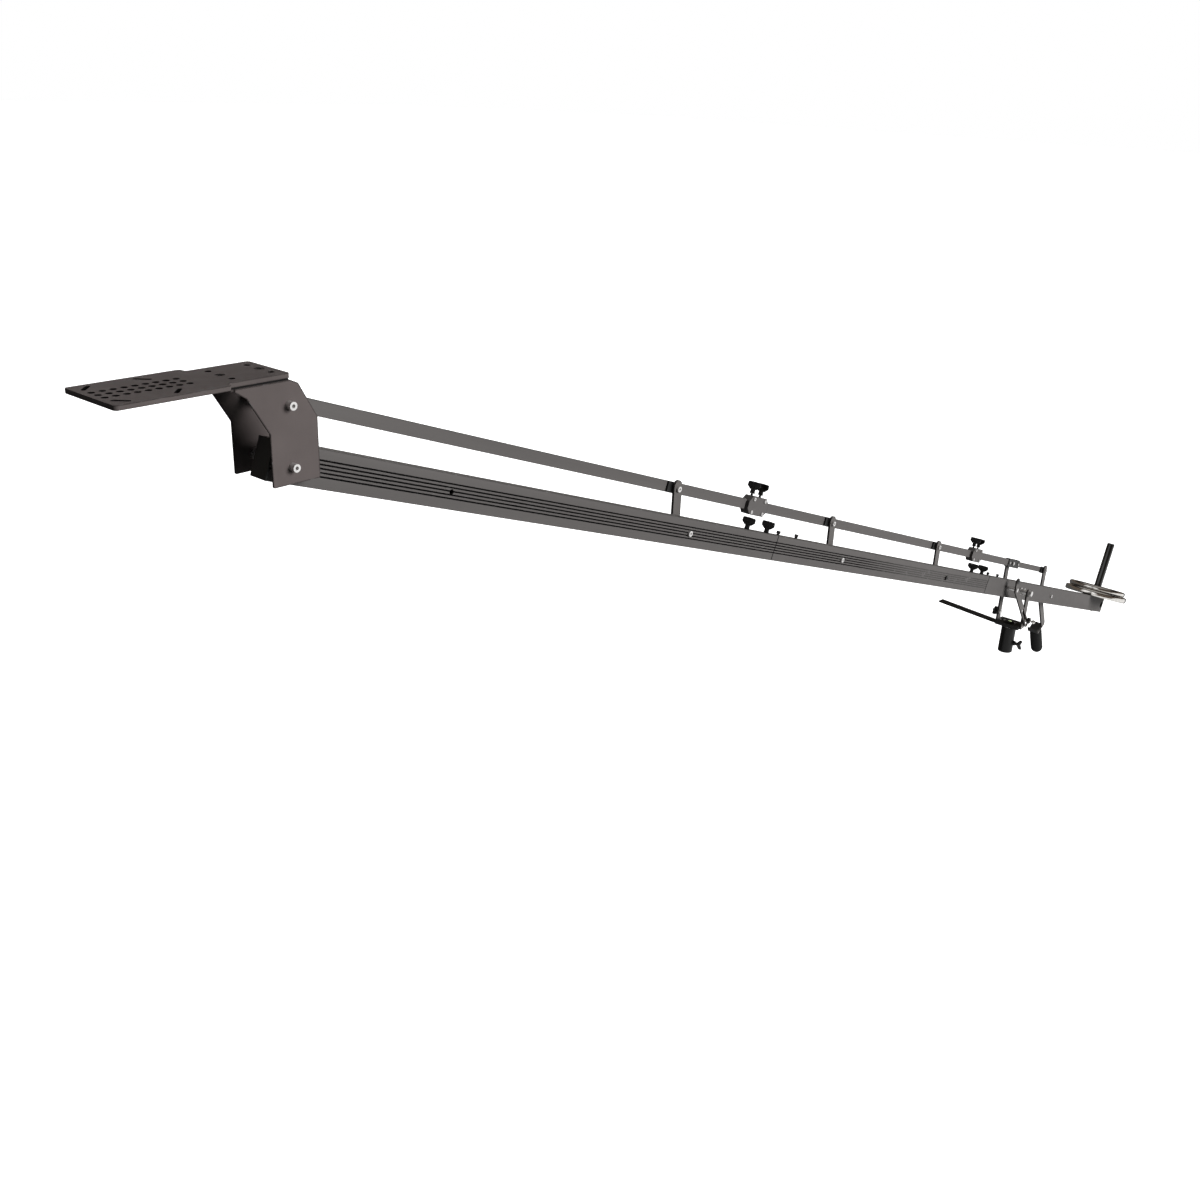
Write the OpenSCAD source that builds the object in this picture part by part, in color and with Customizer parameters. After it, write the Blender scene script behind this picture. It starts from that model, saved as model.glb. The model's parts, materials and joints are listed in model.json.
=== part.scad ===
// Camera jib crane: a jointed boom on a panning yoke, with a parallel bar that keeps the camera plate level.
// X runs forward to the camera plate, Y to the near side and Z up, all in millimetres.
// The origin is the centre of the stand socket's mouth.

/* [Boom] */
// Height of the boom tube
boom_h = 63.5; // [58:0.5:70]
// Width of the boom tube
boom_w = 38; // [35:0.5:42]
// Wall of the boom tube
boom_wall = 3; // [2.5:0.1:3.6]
// Slope of the boom at rest, nose up
boom_tilt = 19.5; // [15:0.1:24]
// From the fulcrum to the head pivot
boom_reach = 3385; // [3300:5:3500]
// Boom in front of the head pivot
boom_nose = 20; // [18:1:24]
// From the fulcrum to the rear end
boom_tail = 1070; // [1060:5:1150]
// From the fulcrum to the front joint
front_joint = 1848; // [1820:1:1870]
// From the fulcrum to the rear joint
rear_joint = 352; // [345:1:370]
// Pitch of the grooves in the boom's sides
groove_pitch = 6.5; // [6:0.1:7]
// Width of one groove
groove_w = 1.5; // [1:0.1:2]
// Depth of one groove
groove_d = 0.9; // [0.5:0.1:1.2]
// Height of the middle groove above the centre line
groove_v = 1.3; // [0:0.1:2]
// Length of the sleeve inside each joint
sleeve_l = 300; // [280:5:310]
// Wall of the sleeve inside each joint
sleeve_wall = 3; // [2.5:0.1:4]
// From a joint to its first wing knob
knob_near = 30; // [25:1:34]
// From a joint to its second wing knob
knob_far = 125; // [110:1:128]
// Thickness of an end cap's flange
cap_t = 3; // [2:0.5:5]
// Length of an end cap's plug
cap_plug = 4; // [3:1:14]
// From the fulcrum to the cross hole in the front section
cross_hole_p = 3010; // [2900:5:3050]
// Diameter of the cross hole
cross_hole_d = 10; // [8:0.5:12]
// From the rear end to the tail hole
tail_hole_in = 22; // [22:1:40]
// Diameter of the tail hole
tail_hole_d = 28; // [10:0.5:29]

/* [Linkage] */
// Height of the bar's pivots above the boom's
link_rise = 95; // [92:0.5:100]
// Width of a link strap
link_w = 28; // [26:0.5:30]
// Thickness of a link strap
link_t = 6; // [5:0.1:7]
// From the fulcrum to the front link
link_1_p = 2241; // [2200:1:2280]
// From the fulcrum to the middle link
link_2_p = 1475; // [1440:1:1510]
// From the fulcrum to the rear link
link_3_p = 725; // [700:1:750]
// From the fulcrum back to the lever's pivot
lever_p = 352; // [340:1:370]
// Link strap above its upper pivot
link_top = 20; // [18:0.5:24]
// Link strap below its lower pivot
link_foot = 20; // [18:0.5:24]
// Between the boom and the link straps
link_gap = 1; // [0.6:0.1:1.5]

/* [Upper bar] */
// Height of the bar
bar_h = 25; // [22:0.5:28]
// Thickness of the bar
bar_t = 12; // [10:0.5:13]
// Height of the bar's tail
tail_h = 20; // [18:0.5:21]
// Thickness of the spacer blocks between links and bar
block_t = 5; // [4:0.5:7]
// Spacer block in front of its link
block_front = 18; // [14:1:22]
// From the front joint forward to its connector on the bar
connector_1_ahead = 32; // [20:1:45]
// From the rear joint forward to its connector on the bar
connector_2_ahead = 23; // [15:1:35]
// Length of a connector
connector_l = 92; // [88:1:100]
// Height of a connector
connector_h = 46; // [44:0.5:50]
// Corner cut of a connector
connector_cut = 14; // [10:0.5:16]
// Connector beyond the bar's near face
connector_near = 9; // [7:0.5:10]
// Connector beyond the bar's far face
connector_far = 3; // [2:0.5:3.5]
// Between a connector's two knobs
connector_knobs = 40; // [39:0.5:44]
// Collar in front of the post pivot
collar_front = 42; // [36:1:50]
// Collar behind the post pivot
collar_back = 68; // [60:1:76]
// Height of the collar
collar_h = 31; // [30:0.5:34]
// Collar's near wall
collar_wall = 3; // [2:0.5:4]
// From the post pivot back to the seam inside the collar
seam_back = 35; // [30:1:45]

/* [Head] */
// Thickness of the head bracket
bracket_t = 3; // [2.5:0.1:4]
// Between the bar and the bracket's cheek
cheek_gap = 4; // [3:0.5:6]
// Top of the bracket above the head pivot
bracket_top = 131.5; // [130:0.5:134]
// Bottom of the bracket below the head pivot
bracket_drop = 27; // [24:0.5:30]
// Bracket in front of the head pivot, at its foot
cheek_front = 36; // [32:0.5:40]
// Bracket behind the head pivot, at its foot
cheek_back = 50; // [46:0.5:54]
// Front tip of the bracket's top
top_front = 97; // [94:0.5:100]
// Rear edge of the bracket's top web
web_back = 5; // [3:0.5:7]
// Thickness of the pad under the camera plate
pad_t = 3.9; // [3:0.1:5]
// Thickness of the camera plate
plate_t = 7; // [6:0.5:8]
// Front edge of the camera plate
plate_front = 282; // [278:1:290]
// Rear edge of the camera plate, behind the head pivot
plate_back = 4; // [3:0.5:6]
// Where the camera plate steps in
plate_step = 104; // [102:1:112]
// Half width of the plate's front part
plate_half = 66; // [64:0.5:70]
// Half width of the plate's rear part
neck_half = 52; // [50:0.5:54]
// Corner radius of the camera plate
plate_r = 6; // [4:0.5:8]
// Diameter of the plate's holes
hole_d = 9.5; // [8:0.5:10]
// Pitch of the hole grid along the plate
grid_x = 16; // [15:0.1:16.4]
// Pitch of the hole grid across the plate
grid_y = 17.3; // [15:0.1:19]
// First column of the grid
grid_start = 140; // [136:0.5:144]
// Length of a tie slot between its end centres
slot_l = 20; // [16:0.5:22]
// Width of a tie slot
slot_w = 6.4; // [6.2:0.1:7]
// Front tie slots ahead of the head pivot
slot_front = 261; // [259:0.5:263]
// Rear tie slots ahead of the head pivot
slot_rear = 176; // [170:0.5:180]
// Tie slots' distance from the centre line
slot_y = 45; // [43:0.5:48]
// Front column of mounting holes
neck_hole_1 = 80.3; // [76:0.1:84]
// Rear column of mounting holes
neck_hole_2 = 13.5; // [11:0.1:18]
// Mounting holes' distance from the centre line
neck_hole_y = 29.5; // [26:0.5:32]

/* [Stand and yoke] */
// Diameter of the stand pole that the socket takes
pole_d = 38; // [35:0.5:40]
// Wall of the stand sleeve
sleeve_side = 7; // [6:0.5:9]
// Height of the stand sleeve
sleeve_h = 98; // [95:1:110]
// Roof of the stand sleeve
sleeve_roof = 10; // [8:0.5:14]
// Height of the sleeve's clamp screw
clamp_z = 38; // [30:1:50]
// Thickness of the pan bearing
bearing_t = 6; // [6:0.1:7]
// Radius of the pan bearing
bearing_r = 22; // [20:0.5:23]
// Radius of the kingpin
kingpin_r = 6; // [5:0.5:7]
// Height of the base channel
base_h = 12; // [11:0.5:14]
// Depth of the base channel
base_depth = 60; // [58:1:66]
// Thickness of the base channel
base_t = 4; // [3:0.5:5]
// Fulcrum above the base
fulcrum_rise = 130; // [128:0.5:134]
// Width of the yoke's straps
post_w = 28; // [26:0.5:30]
// Thickness of the yoke's straps
post_t = 6; // [5:0.1:7]
// Between the bar and the tall post
post_gap = 1; // [0.8:0.1:1.6]
// Radius of the fulcrum axle
axle_r = 6; // [5:0.5:7]
// Radius of the fulcrum bush
bush_r = 11; // [10:0.5:12]
// Star knob's height above the base
star_z = 27; // [24:0.5:30]
// Radius of the star knob
star_r = 17; // [14:0.5:19]
// Radius of the bubble level
level_r = 12.5; // [11:0.5:13.5]
// Length of the accessory bar beyond its pivot
accessory_l = 262; // [240:1:280]
// Width of the accessory bar
accessory_w = 28; // [24:0.5:29]
// Thickness of the accessory bar
accessory_t = 5; // [4:0.1:5.2]
// Accessory bar's swing to the rear, from straight across
accessory_turn = 8; // [2:1:20]
// From the accessory bar's pivot to its hole
accessory_hole = 171; // [150:1:190]
// Diameter of the accessory bar's hole
accessory_hole_d = 6.5; // [6:0.1:8]

/* [Lever] */
// Straight part of the lever below its pivot
lever_drop = 6; // [2:0.5:12]
// Lean of the lever's lower part
lever_lean = 31; // [28:0.5:34]
// Length of the leaning part
lever_low = 177; // [170:1:184]
// Width of the grip's bracket
grip_bracket_w = 44; // [40:0.5:48]
// Height of the grip's bracket
grip_bracket_h = 20; // [18:0.5:24]
// Thickness of the grip's bracket
grip_bracket_t = 4; // [3:0.5:6]
// Grip's axis in front of the lever's tip
grip_ahead = 24; // [18:0.5:26]
// Radius of the grip
grip_r = 23; // [21:0.5:25]
// Length of the grip
grip_l = 134; // [126:1:142]
// Lean of the grip
grip_lean = 28.5; // [24:0.5:33]

/* [Tilt brake] */
// From the fulcrum forward to the brake's stud
stud_p = 150; // [146:1:154]
// Brake stud above the boom's centre line
stud_v = 4; // [0:0.5:8]
// Radius of the brake stud
stud_r = 4; // [3.5:0.1:5]
// Width of the brake arm
arm_w = 25; // [24:0.5:28]
// Thickness of the brake arm
arm_t = 5; // [4:0.5:6]
// Between the near upright and the brake arm
arm_gap = 1; // [0.8:0.1:1.6]
// Brake arm above its stud
arm_up = 44; // [40:0.5:48]
// Clamp stud above the base
clamp_rise = 26; // [24:0.5:28]
// Radius of the clamp stud
clamp_r = 3; // [2.5:0.1:3.2]
// Width of the brake arm's slot
arm_slot_w = 12.6; // [12.4:0.1:13.4]
// Slot's near end from the stud
arm_slot_near = 144; // [138:1:147]
// Slot's far end from the stud
arm_slot_far = 242; // [240:1:248]

/* [Counterweight] */
// From the fulcrum back to the weight rod
rod_p = 983; // [975:1:990]
// Radius of the weight rod
rod_r = 15; // [12:0.1:15.5]
// Top of the weight rod above the boom's centre line
rod_top = 265; // [250:1:280]
// Radius of the lower weight disc
disc_r = 126; // [118:1:130]
// Thickness of the lower weight disc
disc_t = 24; // [20:0.5:26]
// Radius of the upper weight disc
top_disc_r = 115; // [100:1:117]
// Thickness of the upper weight disc
top_disc_t = 20; // [16:0.5:24]
// Width of a disc's raised rim
disc_rim = 14; // [10:1:18]
// Depth of the recess inside a disc's rim
disc_recess = 2; // [1:0.5:6]
// Radius of a disc's hub
disc_hub = 32; // [26:1:36]
// Rounding of a disc's edge
disc_edge = 8; // [4:0.5:9]

/* [Fasteners] */
// Radius of the pivot bolts
bolt_r = 4; // [3.5:0.1:4.5]
// Radius of a pivot bolt's head
bolt_head_r = 6.5; // [6:0.1:7]
// Height of a pivot bolt's head
bolt_head_h = 5; // [4:0.5:6]
// Radius of the small screws
screw_r = 2.5; // [2:0.1:3]
// Radius of a small screw's head
screw_head_r = 4.2; // [3.8:0.1:5]
// Height of a small screw's head
screw_head_h = 2.6; // [2:0.1:3.5]
// Half span of a wing knob
wing_half = 18.5; // [16:0.5:19]
// Height of a wing knob
wing_h = 29; // [26:0.5:32]
// Radius of a wing knob's stem
wing_stem_r = 3; // [2.5:0.1:3.5]

/* [Hidden] */
$fn = 48;
// Clearance of a turning shaft in its bore
run_clear = 0.05;
// Clearance of a fixed pin in its seat
seat_clear = 0.02;
// Clearance between flat faces that move past each other
slide_clear = 0.3;
// Clearance of an open linkage pivot
open_clear = 0.4;
// Overshoot of a cut past a face
cut = 1;

half_w = boom_w / 2;
half_h = boom_h / 2;
tube_in_w = boom_w - 2 * boom_wall;
tube_in_h = boom_h - 2 * boom_wall;
boom_front = boom_reach + boom_nose;
link_near = -(half_w + link_gap);
link_far = link_near - link_t;
bar_near = link_far - block_t;
bar_far = bar_near - bar_t;
bar_mid = (bar_near + bar_far) / 2;
yoke_in = post_gap - bar_far;
yoke_out = yoke_in + post_t;
cheek_in = cheek_gap - bar_far;
cheek_out = cheek_in + bracket_t;
arm_in = yoke_out + arm_gap;
arm_out = arm_in + arm_t;
pole_r = pole_d / 2 + run_clear;
sleeve_r = pole_r + sleeve_side;
base_z = sleeve_h + bearing_t;
base_top = base_z + base_h;
fulcrum_z = base_top + fulcrum_rise;
foot_z = base_top + clamp_rise;
post_top_z = fulcrum_z + link_rise;
head_x = boom_reach * cos(boom_tilt);
head_z = fulcrum_z + boom_reach * sin(boom_tilt);
pad_z = bracket_top;
plate_z = pad_z + pad_t;
link_pivots = [link_1_p, link_2_p, link_3_p];
bar_pivots = [link_1_p, link_2_p, link_3_p, -lever_p];
connector_near_y = bar_near + connector_near;
connector_far_y = bar_far - connector_far;
connector_mid = (connector_near_y + connector_far_y) / 2;
connector_1_p = front_joint + connector_1_ahead;
connector_2_p = rear_joint + connector_2_ahead;
connector_places = [connector_1_p, connector_2_p];
joint_places = [front_joint, rear_joint];
bar_nose = boom_reach + bar_h / 2;
bar_end = lever_p + bar_h / 2;

// Sizes of small fittings
nut_r = 7;
nut_h = 6;
head_bolt_face = 11;
spacer_r = 9;
stem_depth = 14;
wing_t = 7;
wing_neck_r = 4.5;
wing_hub_r = 6.5;
wing_flange_h = 3;
wing_r = 2;
wing_dip = 7;
wing_rise = 0.8;
wing_edge = 11;
wing_base = 9;
wing_hub_z = 9;
wing_hub_top = 20;
bar_knob_lift = 5;
connector_screw_x = 26;
connector_screw_z = 16;
collar_screw_in = 12;
screw_depth = 6;
clamp_boss_r = 9;
clamp_boss_l = 7;
clamp_stem_r = 4;
kingpin_head_r = 11;
kingpin_head_h = 6;
king_pocket_r = 13;
king_pocket_h = 7;
hub_r = base_depth / 2 - base_t - 0.5;
base_screw_y = 20.5;
yoke_screw_x = 8;
post_round = 14;
level_h = 4;
level_rim = 2;
axle_nut_r = 11;
axle_nut_h = 9;
axle_cap_h = 3;
washer_t = 1.5;
accessory_pivot = 37;
clamp_washer_r = 9;
clamp_washer_t = 3;
clamp_knob_r = 9;
clamp_knob_l = 14;
clamp_ball_r = 7;
clamp_neck_r = 3;
clamp_neck_l = 5;
clamp_stud_l = clamp_washer_t + clamp_knob_l - 3;
star_t = 12;
star_lobes = 5;
star_lobe_r = 5;
star_hub_r = 9;
star_standoff = 6;
ring_r = 9;
ring_t = 5;
stud_cap_r = 7;
stud_cap_t = 2.5;
arm_cap_r = 8;
arm_cap_t = 2.5;
tang_r = 6;
tang_l = 80;
grip_end_r = 8;
grip_bore_clear = 0.1;
rod_screw_r = 6;
rod_screw_l = 30;
rod_screw_head_r = 10;
rod_screw_head_h = 2.5;
rod_tip = 3;
rod_groove_w = 3;
rod_groove_t = 0.5;
joint_collar_r = 3.6;
joint_collar_h = 5;
joint_head_r = 5.2;
joint_head_h = 6;
cheek_r = 2.5;
hole_rows = [-1, 0, 1];
grid_columns = 9;
plate_screw_head_r = 7;
plate_screw_head_h = 4;
web_notch = 6;
collar_screws = [collar_front - collar_screw_in, collar_screw_in - collar_back];

// Frames

// Boom frame: X along the boom from the fulcrum, Z square to it
module on_boom() {
    translate([0, 0, fulcrum_z]) rotate([0, -boom_tilt, 0]) children();
}

// Bar frame: as the boom's, raised by the links
module on_bar() {
    translate([0, 0, post_top_z]) rotate([0, -boom_tilt, 0]) children();
}

// Upright frame at a pivot on the boom's centre line
module at_pivot(p) {
    translate([p * cos(boom_tilt), 0, fulcrum_z + p * sin(boom_tilt)]) children();
}

module at_head() {
    translate([head_x, 0, head_z]) children();
}

// Shapes

// Cylinder along Y between two values of Y
module cross(r, y0, y1) {
    translate([0, y0, 0]) rotate([-90, 0, 0]) cylinder(r = r, h = y1 - y0);
}

// Box between two corners
module span(a, b) {
    translate(a) cube(b - a);
}

// Plate in the XZ plane, between two values of Y
module upright(y0, y1) {
    translate([0, y1, 0]) rotate([90, 0, 0]) linear_extrude(y1 - y0) children();
}

// Profile in the YZ plane, run along X
module along(x0, x1) {
    translate([x0, 0, 0]) rotate([90, 0, 90]) linear_extrude(x1 - x0) children();
}

function unit(v) = v / norm(v);

// Points of an arc that rounds the corner b between a and c
function corner(a, b, c, r, n) =
    let (u = unit(a - b), w = unit(c - b))
    let (half = acos(u * w) / 2)
    let (centre = b + unit(u + w) * r / sin(half))
    let (p = b + u * r / tan(half), q = b + w * r / tan(half))
    let (t0 = atan2(p.y - centre.y, p.x - centre.x), t1 = atan2(q.y - centre.y, q.x - centre.x))
    let (sweep = (t1 - t0 + 540) % 360 - 180)
    [for (i = [0 : n]) centre + r * [cos(t0 + sweep * i / n), sin(t0 + sweep * i / n)]];

// Outline with every corner rounded by one radius
function rounded(points, r, n = 5) = [
    for (i = [0 : len(points) - 1])
    each corner(points[(i + len(points) - 1) % len(points)], points[i],
        points[(i + 1) % len(points)], r, n)
];

// Strap outline: a bar of width w from a to b, with round ends
module strap(a, b, w) {
    translate(a) circle(d = w);
    translate(b) circle(d = w);
    translate(a) rotate(atan2(b.y - a.y, b.x - a.x)) translate([0, -w / 2]) square([norm(b - a), w]);
}

module nut(r, y0, y1) {
    translate([0, y0, 0]) rotate([-90, 0, 0]) cylinder(r = r, h = y1 - y0, $fn = 6);
}

// Socket head with its hexagon recess, on Y, facing +Y
module socket_head(r, y0, y1) {
    difference() {
        cross(r, y0, y1);
        translate([0, (y0 + y1) / 2, 0]) rotate([-90, 0, 0]) cylinder(r = r / 2, h = y1 - y0, $fn = 6);
    }
}

// Pan-head screw along +Z, seated at the origin
module screw(depth) {
    translate([0, 0, -depth]) cylinder(r = screw_r, h = depth);
    difference() {
        cylinder(r = screw_head_r, h = screw_head_h);
        translate([0, 0, screw_head_h / 2]) cylinder(r = screw_head_r / 2, h = screw_head_h, $fn = 6);
    }
}

// Fan outline of a wing knob, whose top edge dips in the middle or rises for a dip below zero
module wing_outline(dip) {
    side = [[wing_base, wing_hub_z + 1], [wing_half, wing_h - wing_edge], [wing_half - 1, wing_h]];
    polygon(rounded(concat(side, [[0, wing_h - dip]],
        [for (i = [len(side) - 1 : -1 : 0]) [-side[i].x, side[i].y]]), wing_r));
}

// Wing knob along +Z, seated at the origin, with its wings across Y
module wing_knob(depth, stem_r, dip = -wing_rise) {
    translate([0, 0, -depth]) cylinder(r = stem_r, h = depth + wing_hub_z);
    cylinder(r = wing_hub_r, h = wing_flange_h);
    cylinder(r = wing_neck_r, h = wing_hub_z);
    translate([0, 0, wing_hub_z]) cylinder(r = wing_hub_r, h = wing_hub_top - wing_hub_z);
    along(-wing_t / 2, wing_t / 2) wing_outline(dip);
}

// Stand

module stand_sleeve() {
    color([0.07, 0.07, 0.07]) difference() {
        union() {
            cylinder(r = sleeve_r, h = sleeve_h);
            translate([0, 0, clamp_z]) cross(clamp_boss_r, 0, sleeve_r + clamp_boss_l);
        }
        translate([0, 0, -cut]) cylinder(r = pole_r, h = sleeve_h - sleeve_roof - king_pocket_h + cut, $fn = 96);
        translate([0, 0, -cut]) cylinder(r = king_pocket_r, h = sleeve_h - sleeve_roof + cut);
        cylinder(r = kingpin_r + run_clear, h = sleeve_h + cut);
        translate([0, 0, clamp_z]) cross(clamp_stem_r + run_clear, 0, sleeve_r + clamp_boss_l + cut);
    }
}

module thrust_washer() {
    color("silver") translate([0, 0, sleeve_h]) difference() {
        cylinder(r = bearing_r, h = bearing_t);
        translate([0, 0, -cut]) cylinder(r = kingpin_r + run_clear, h = bearing_t + 2 * cut);
    }
}

module sleeve_clamp_screw() {
    seat = sleeve_r + clamp_boss_l + slide_clear;
    color([0.05, 0.05, 0.05]) translate([0, seat, clamp_z]) rotate([-90, 90, 0])
        wing_knob(seat - pole_r - slide_clear, clamp_stem_r, wing_dip);
}

// Pan base

module base_screw_holes(r) {
    for (side = [-1, 1])
        translate([0, side * base_screw_y, base_top - base_t - cut]) cylinder(r = r, h = base_t + 2 * cut);
}

module base_channel() {
    half = base_depth / 2;
    color([0.06, 0.06, 0.06]) difference() {
        span([-half, -yoke_in, base_z], [half, yoke_in, base_top]);
        span([base_t - half, base_t - yoke_in, base_z - cut], [half - base_t, yoke_in - base_t, base_top - base_t]);
        base_screw_holes(screw_r + seat_clear);
        translate([0, -accessory_pivot, base_z]) cylinder(r = bolt_r + seat_clear, h = base_h + cut);
        for (x = [-yoke_screw_x, yoke_screw_x])
            translate([x, 0, base_z + base_h / 2]) cross(screw_r + seat_clear, -yoke_in - cut, yoke_in + cut);
    }
}

module turntable_hub() {
    color([0.1, 0.1, 0.1]) difference() {
        translate([0, 0, base_z + slide_clear]) cylinder(r = hub_r, h = base_h - base_t - slide_clear);
        translate([0, 0, base_z - cut]) cylinder(r = kingpin_r + seat_clear, h = base_h + cut);
        for (side = [-1, 1])
            translate([0, side * base_screw_y, base_z - cut]) cylinder(r = screw_r + seat_clear, h = base_h + cut);
    }
}

module kingpin() {
    shank = sleeve_h - sleeve_roof;
    color("silver") {
        translate([0, 0, shank - kingpin_head_h - slide_clear]) cylinder(r = kingpin_head_r, h = kingpin_head_h);
        translate([0, 0, shank - 1]) cylinder(r = kingpin_r, h = base_top - base_t - shank + 1);
    }
}

module bubble_level() {
    color([0.45, 0.75, 0.4]) translate([0, 0, base_top]) difference() {
        cylinder(r = level_r + level_rim, h = level_h);
        translate([0, 0, level_h - 1]) cylinder(r = level_r, h = level_h);
    }
}

// Two screws hold the hub from above, and two more hold each upright by its side
module yoke_screws() {
    color([0.15, 0.15, 0.15]) {
        for (side = [-1, 1]) {
            translate([0, side * base_screw_y, base_top]) screw(base_h - 1);
            for (x = [-yoke_screw_x, yoke_screw_x])
                translate([x, side * (yoke_out - screw_head_h), base_z + base_h / 2])
                    rotate([-90 * side, 0, 0]) screw(post_t + base_t - screw_head_h);
        }
    }
}

module yoke_strap(y0, y1, top) {
    difference() {
        upright(y0, y1) {
            translate([-post_w / 2, base_z]) square([post_w, top - base_z]);
            translate([0, top]) circle(r = post_w / 2);
        }
        for (x = [-yoke_screw_x, yoke_screw_x]) translate([x, 0, base_z + base_h / 2]) {
            cross(screw_r + seat_clear, y0 - cut, y1 + cut);
            cross(screw_head_r + seat_clear, -yoke_out - cut, screw_head_h - yoke_out);
            cross(screw_head_r + seat_clear, yoke_out - screw_head_h, yoke_out + cut);
        }
        translate([0, 0, fulcrum_z]) cross(axle_r + seat_clear, y0 - cut, y1 + cut);
        children();
    }
}

module far_post() {
    color([0.14, 0.14, 0.13]) yoke_strap(-yoke_out, -yoke_in, post_top_z) {
        translate([0, 0, post_top_z]) cross(bolt_r + seat_clear, -yoke_out - cut, cut - yoke_in);
        translate([0, 0, base_top + star_z]) cross(bolt_r + seat_clear, -yoke_out - cut, cut - yoke_in);
    }
}

module near_upright() {
    color([0.14, 0.14, 0.13]) yoke_strap(yoke_in, yoke_out, fulcrum_z)
        translate([0, 0, foot_z]) cross(clamp_r + seat_clear, yoke_in - cut, yoke_out + cut);
}

module fulcrum_axle() {
    color("silver") translate([0, 0, fulcrum_z]) {
        cross(axle_r, -yoke_out - axle_nut_h, yoke_out + axle_nut_h);
        difference() {
            nut(axle_nut_r, yoke_out, yoke_out + axle_nut_h);
            cross(axle_r, yoke_out - cut, yoke_out + axle_nut_h + cut);
        }
        difference() {
            nut(axle_nut_r, -yoke_out - axle_nut_h, -yoke_out);
            cross(axle_r, -yoke_out - axle_nut_h - cut, cut - yoke_out);
        }
    }
}

// Spacer tubes and washers that centre the boom, and the cap outside the near nut
module fulcrum_washers() {
    inner = half_w + link_gap;
    middle = inner + (yoke_in - inner) / 2;
    color([0.75, 0.75, 0.74]) translate([0, 0, fulcrum_z]) for (side = [0, 1]) mirror([0, side, 0]) difference() {
        union() {
            cross(bush_r + washer_t, inner, inner + washer_t);
            cross(bush_r - 1, inner, yoke_in);
            cross(bush_r + washer_t, middle, middle + washer_t);
        }
        cross(axle_r + seat_clear, inner - cut, yoke_in + cut);
    }
    color([0.05, 0.05, 0.05]) translate([0, 0, fulcrum_z])
        cross(axle_nut_r - 1, yoke_out + axle_nut_h, yoke_out + axle_nut_h + axle_cap_h);
}

// Bolts of the bar's post, the accessory bar, the star knob and the tilt brake
module pan_pivot_bolts() {
    color("silver") {
        translate([0, 0, post_top_z]) {
            cross(bolt_r, -yoke_out, bar_near + connector_near);
            nut(nut_r, -yoke_out - nut_h, -yoke_out);
            cross(bolt_head_r, bar_near + collar_wall + slide_clear, bar_near + collar_wall + bolt_head_h);
        }
        translate([0, -accessory_pivot, 0]) {
            cylinder_from(base_z - accessory_t - bolt_head_h, base_top, bolt_r);
            cylinder_from(base_z - accessory_t - bolt_head_h, base_z - accessory_t - 2 * slide_clear, bolt_head_r);
        }
        translate([0, 0, base_top + star_z]) {
            cross(bolt_r, -yoke_out - star_standoff - star_t / 2, -yoke_in);
            cross(ring_r, -yoke_in, ring_t - yoke_in);
        }
        translate([0, 0, foot_z]) {
            cross(clamp_r, yoke_in, arm_out + clamp_stud_l);
            cross(clamp_r + 2, yoke_in - washer_t, yoke_in);
        }
    }
}

// Upright cylinder between two heights
module cylinder_from(z0, z1, r) {
    translate([0, 0, z0]) cylinder(r = r, h = z1 - z0);
}

module star_knob() {
    y1 = -yoke_out - slide_clear;
    y0 = y1 - star_standoff - star_t;
    color([0.05, 0.05, 0.05]) translate([0, 0, base_top + star_z]) difference() {
        union() {
            cross(star_hub_r - 1, y0 + 1, y1);
            upright(y0, y0 + star_t) {
                circle(r = star_hub_r);
                for (i = [0 : star_lobes - 1])
                    rotate(360 * i / star_lobes) strap([0, 0], [star_r - star_lobe_r, 0], 2 * star_lobe_r);
            }
        }
        cross(bolt_r + run_clear, y1 - star_standoff - star_t / 2 - cut, y1 + cut);
    }
}

// Round at the pivot and square at the far end
module accessory_outline() {
    half = accessory_w / 2;
    polygon(concat([[accessory_l, -half], [accessory_l, half]],
        [for (a = [90 : 7.5 : 270]) half * [cos(a), sin(a)]]));
}

module accessory_bar() {
    z1 = base_z - slide_clear;
    color([0.08, 0.08, 0.08]) translate([0, -accessory_pivot, z1 - accessory_t]) rotate(-90 - accessory_turn)
        difference() {
            linear_extrude(accessory_t) accessory_outline();
            translate([0, 0, -cut]) cylinder(r = bolt_r + run_clear, h = accessory_t + 2 * cut);
            translate([accessory_hole, 0, -cut]) cylinder(d = accessory_hole_d, h = accessory_t + 2 * cut);
        }
}

// Tilt brake

module brake_clamp_knob() {
    y0 = arm_out + clamp_washer_t + 2 * slide_clear;
    color([0.05, 0.05, 0.05]) translate([0, 0, foot_z]) difference() {
        union() {
            cross(clamp_knob_r, y0, y0 + clamp_knob_l);
            for (i = [0 : star_lobes])
                rotate([0, 60 * i, 0]) translate([clamp_knob_r, 0, 0]) cross(2.5, y0 + 3, y0 + clamp_knob_l);
        }
        cross(clamp_r + run_clear, y0 - cut, arm_out + clamp_stud_l + cut);
    }
}

// Pressure washer under the knob, and the ball end outside it
module brake_clamp_chrome() {
    y0 = arm_out + slide_clear;
    y1 = y0 + clamp_washer_t + slide_clear + clamp_knob_l;
    color([0.85, 0.85, 0.87]) translate([0, 0, foot_z]) {
        difference() {
            cross(clamp_washer_r, y0, y0 + clamp_washer_t);
            cross(clamp_r + run_clear, y0 - cut, y0 + clamp_washer_t + cut);
        }
        cross(clamp_neck_r, y1, y1 + clamp_neck_l + clamp_ball_r);
        translate([0, y1 + clamp_neck_l + clamp_ball_r, 0]) sphere(r = clamp_ball_r);
    }
}

stud_place = [stud_p * cos(boom_tilt) - stud_v * sin(boom_tilt),
    fulcrum_z + stud_p * sin(boom_tilt) + stud_v * cos(boom_tilt)];
arm_aim = atan2(foot_z - stud_place.y, -stud_place.x);

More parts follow.
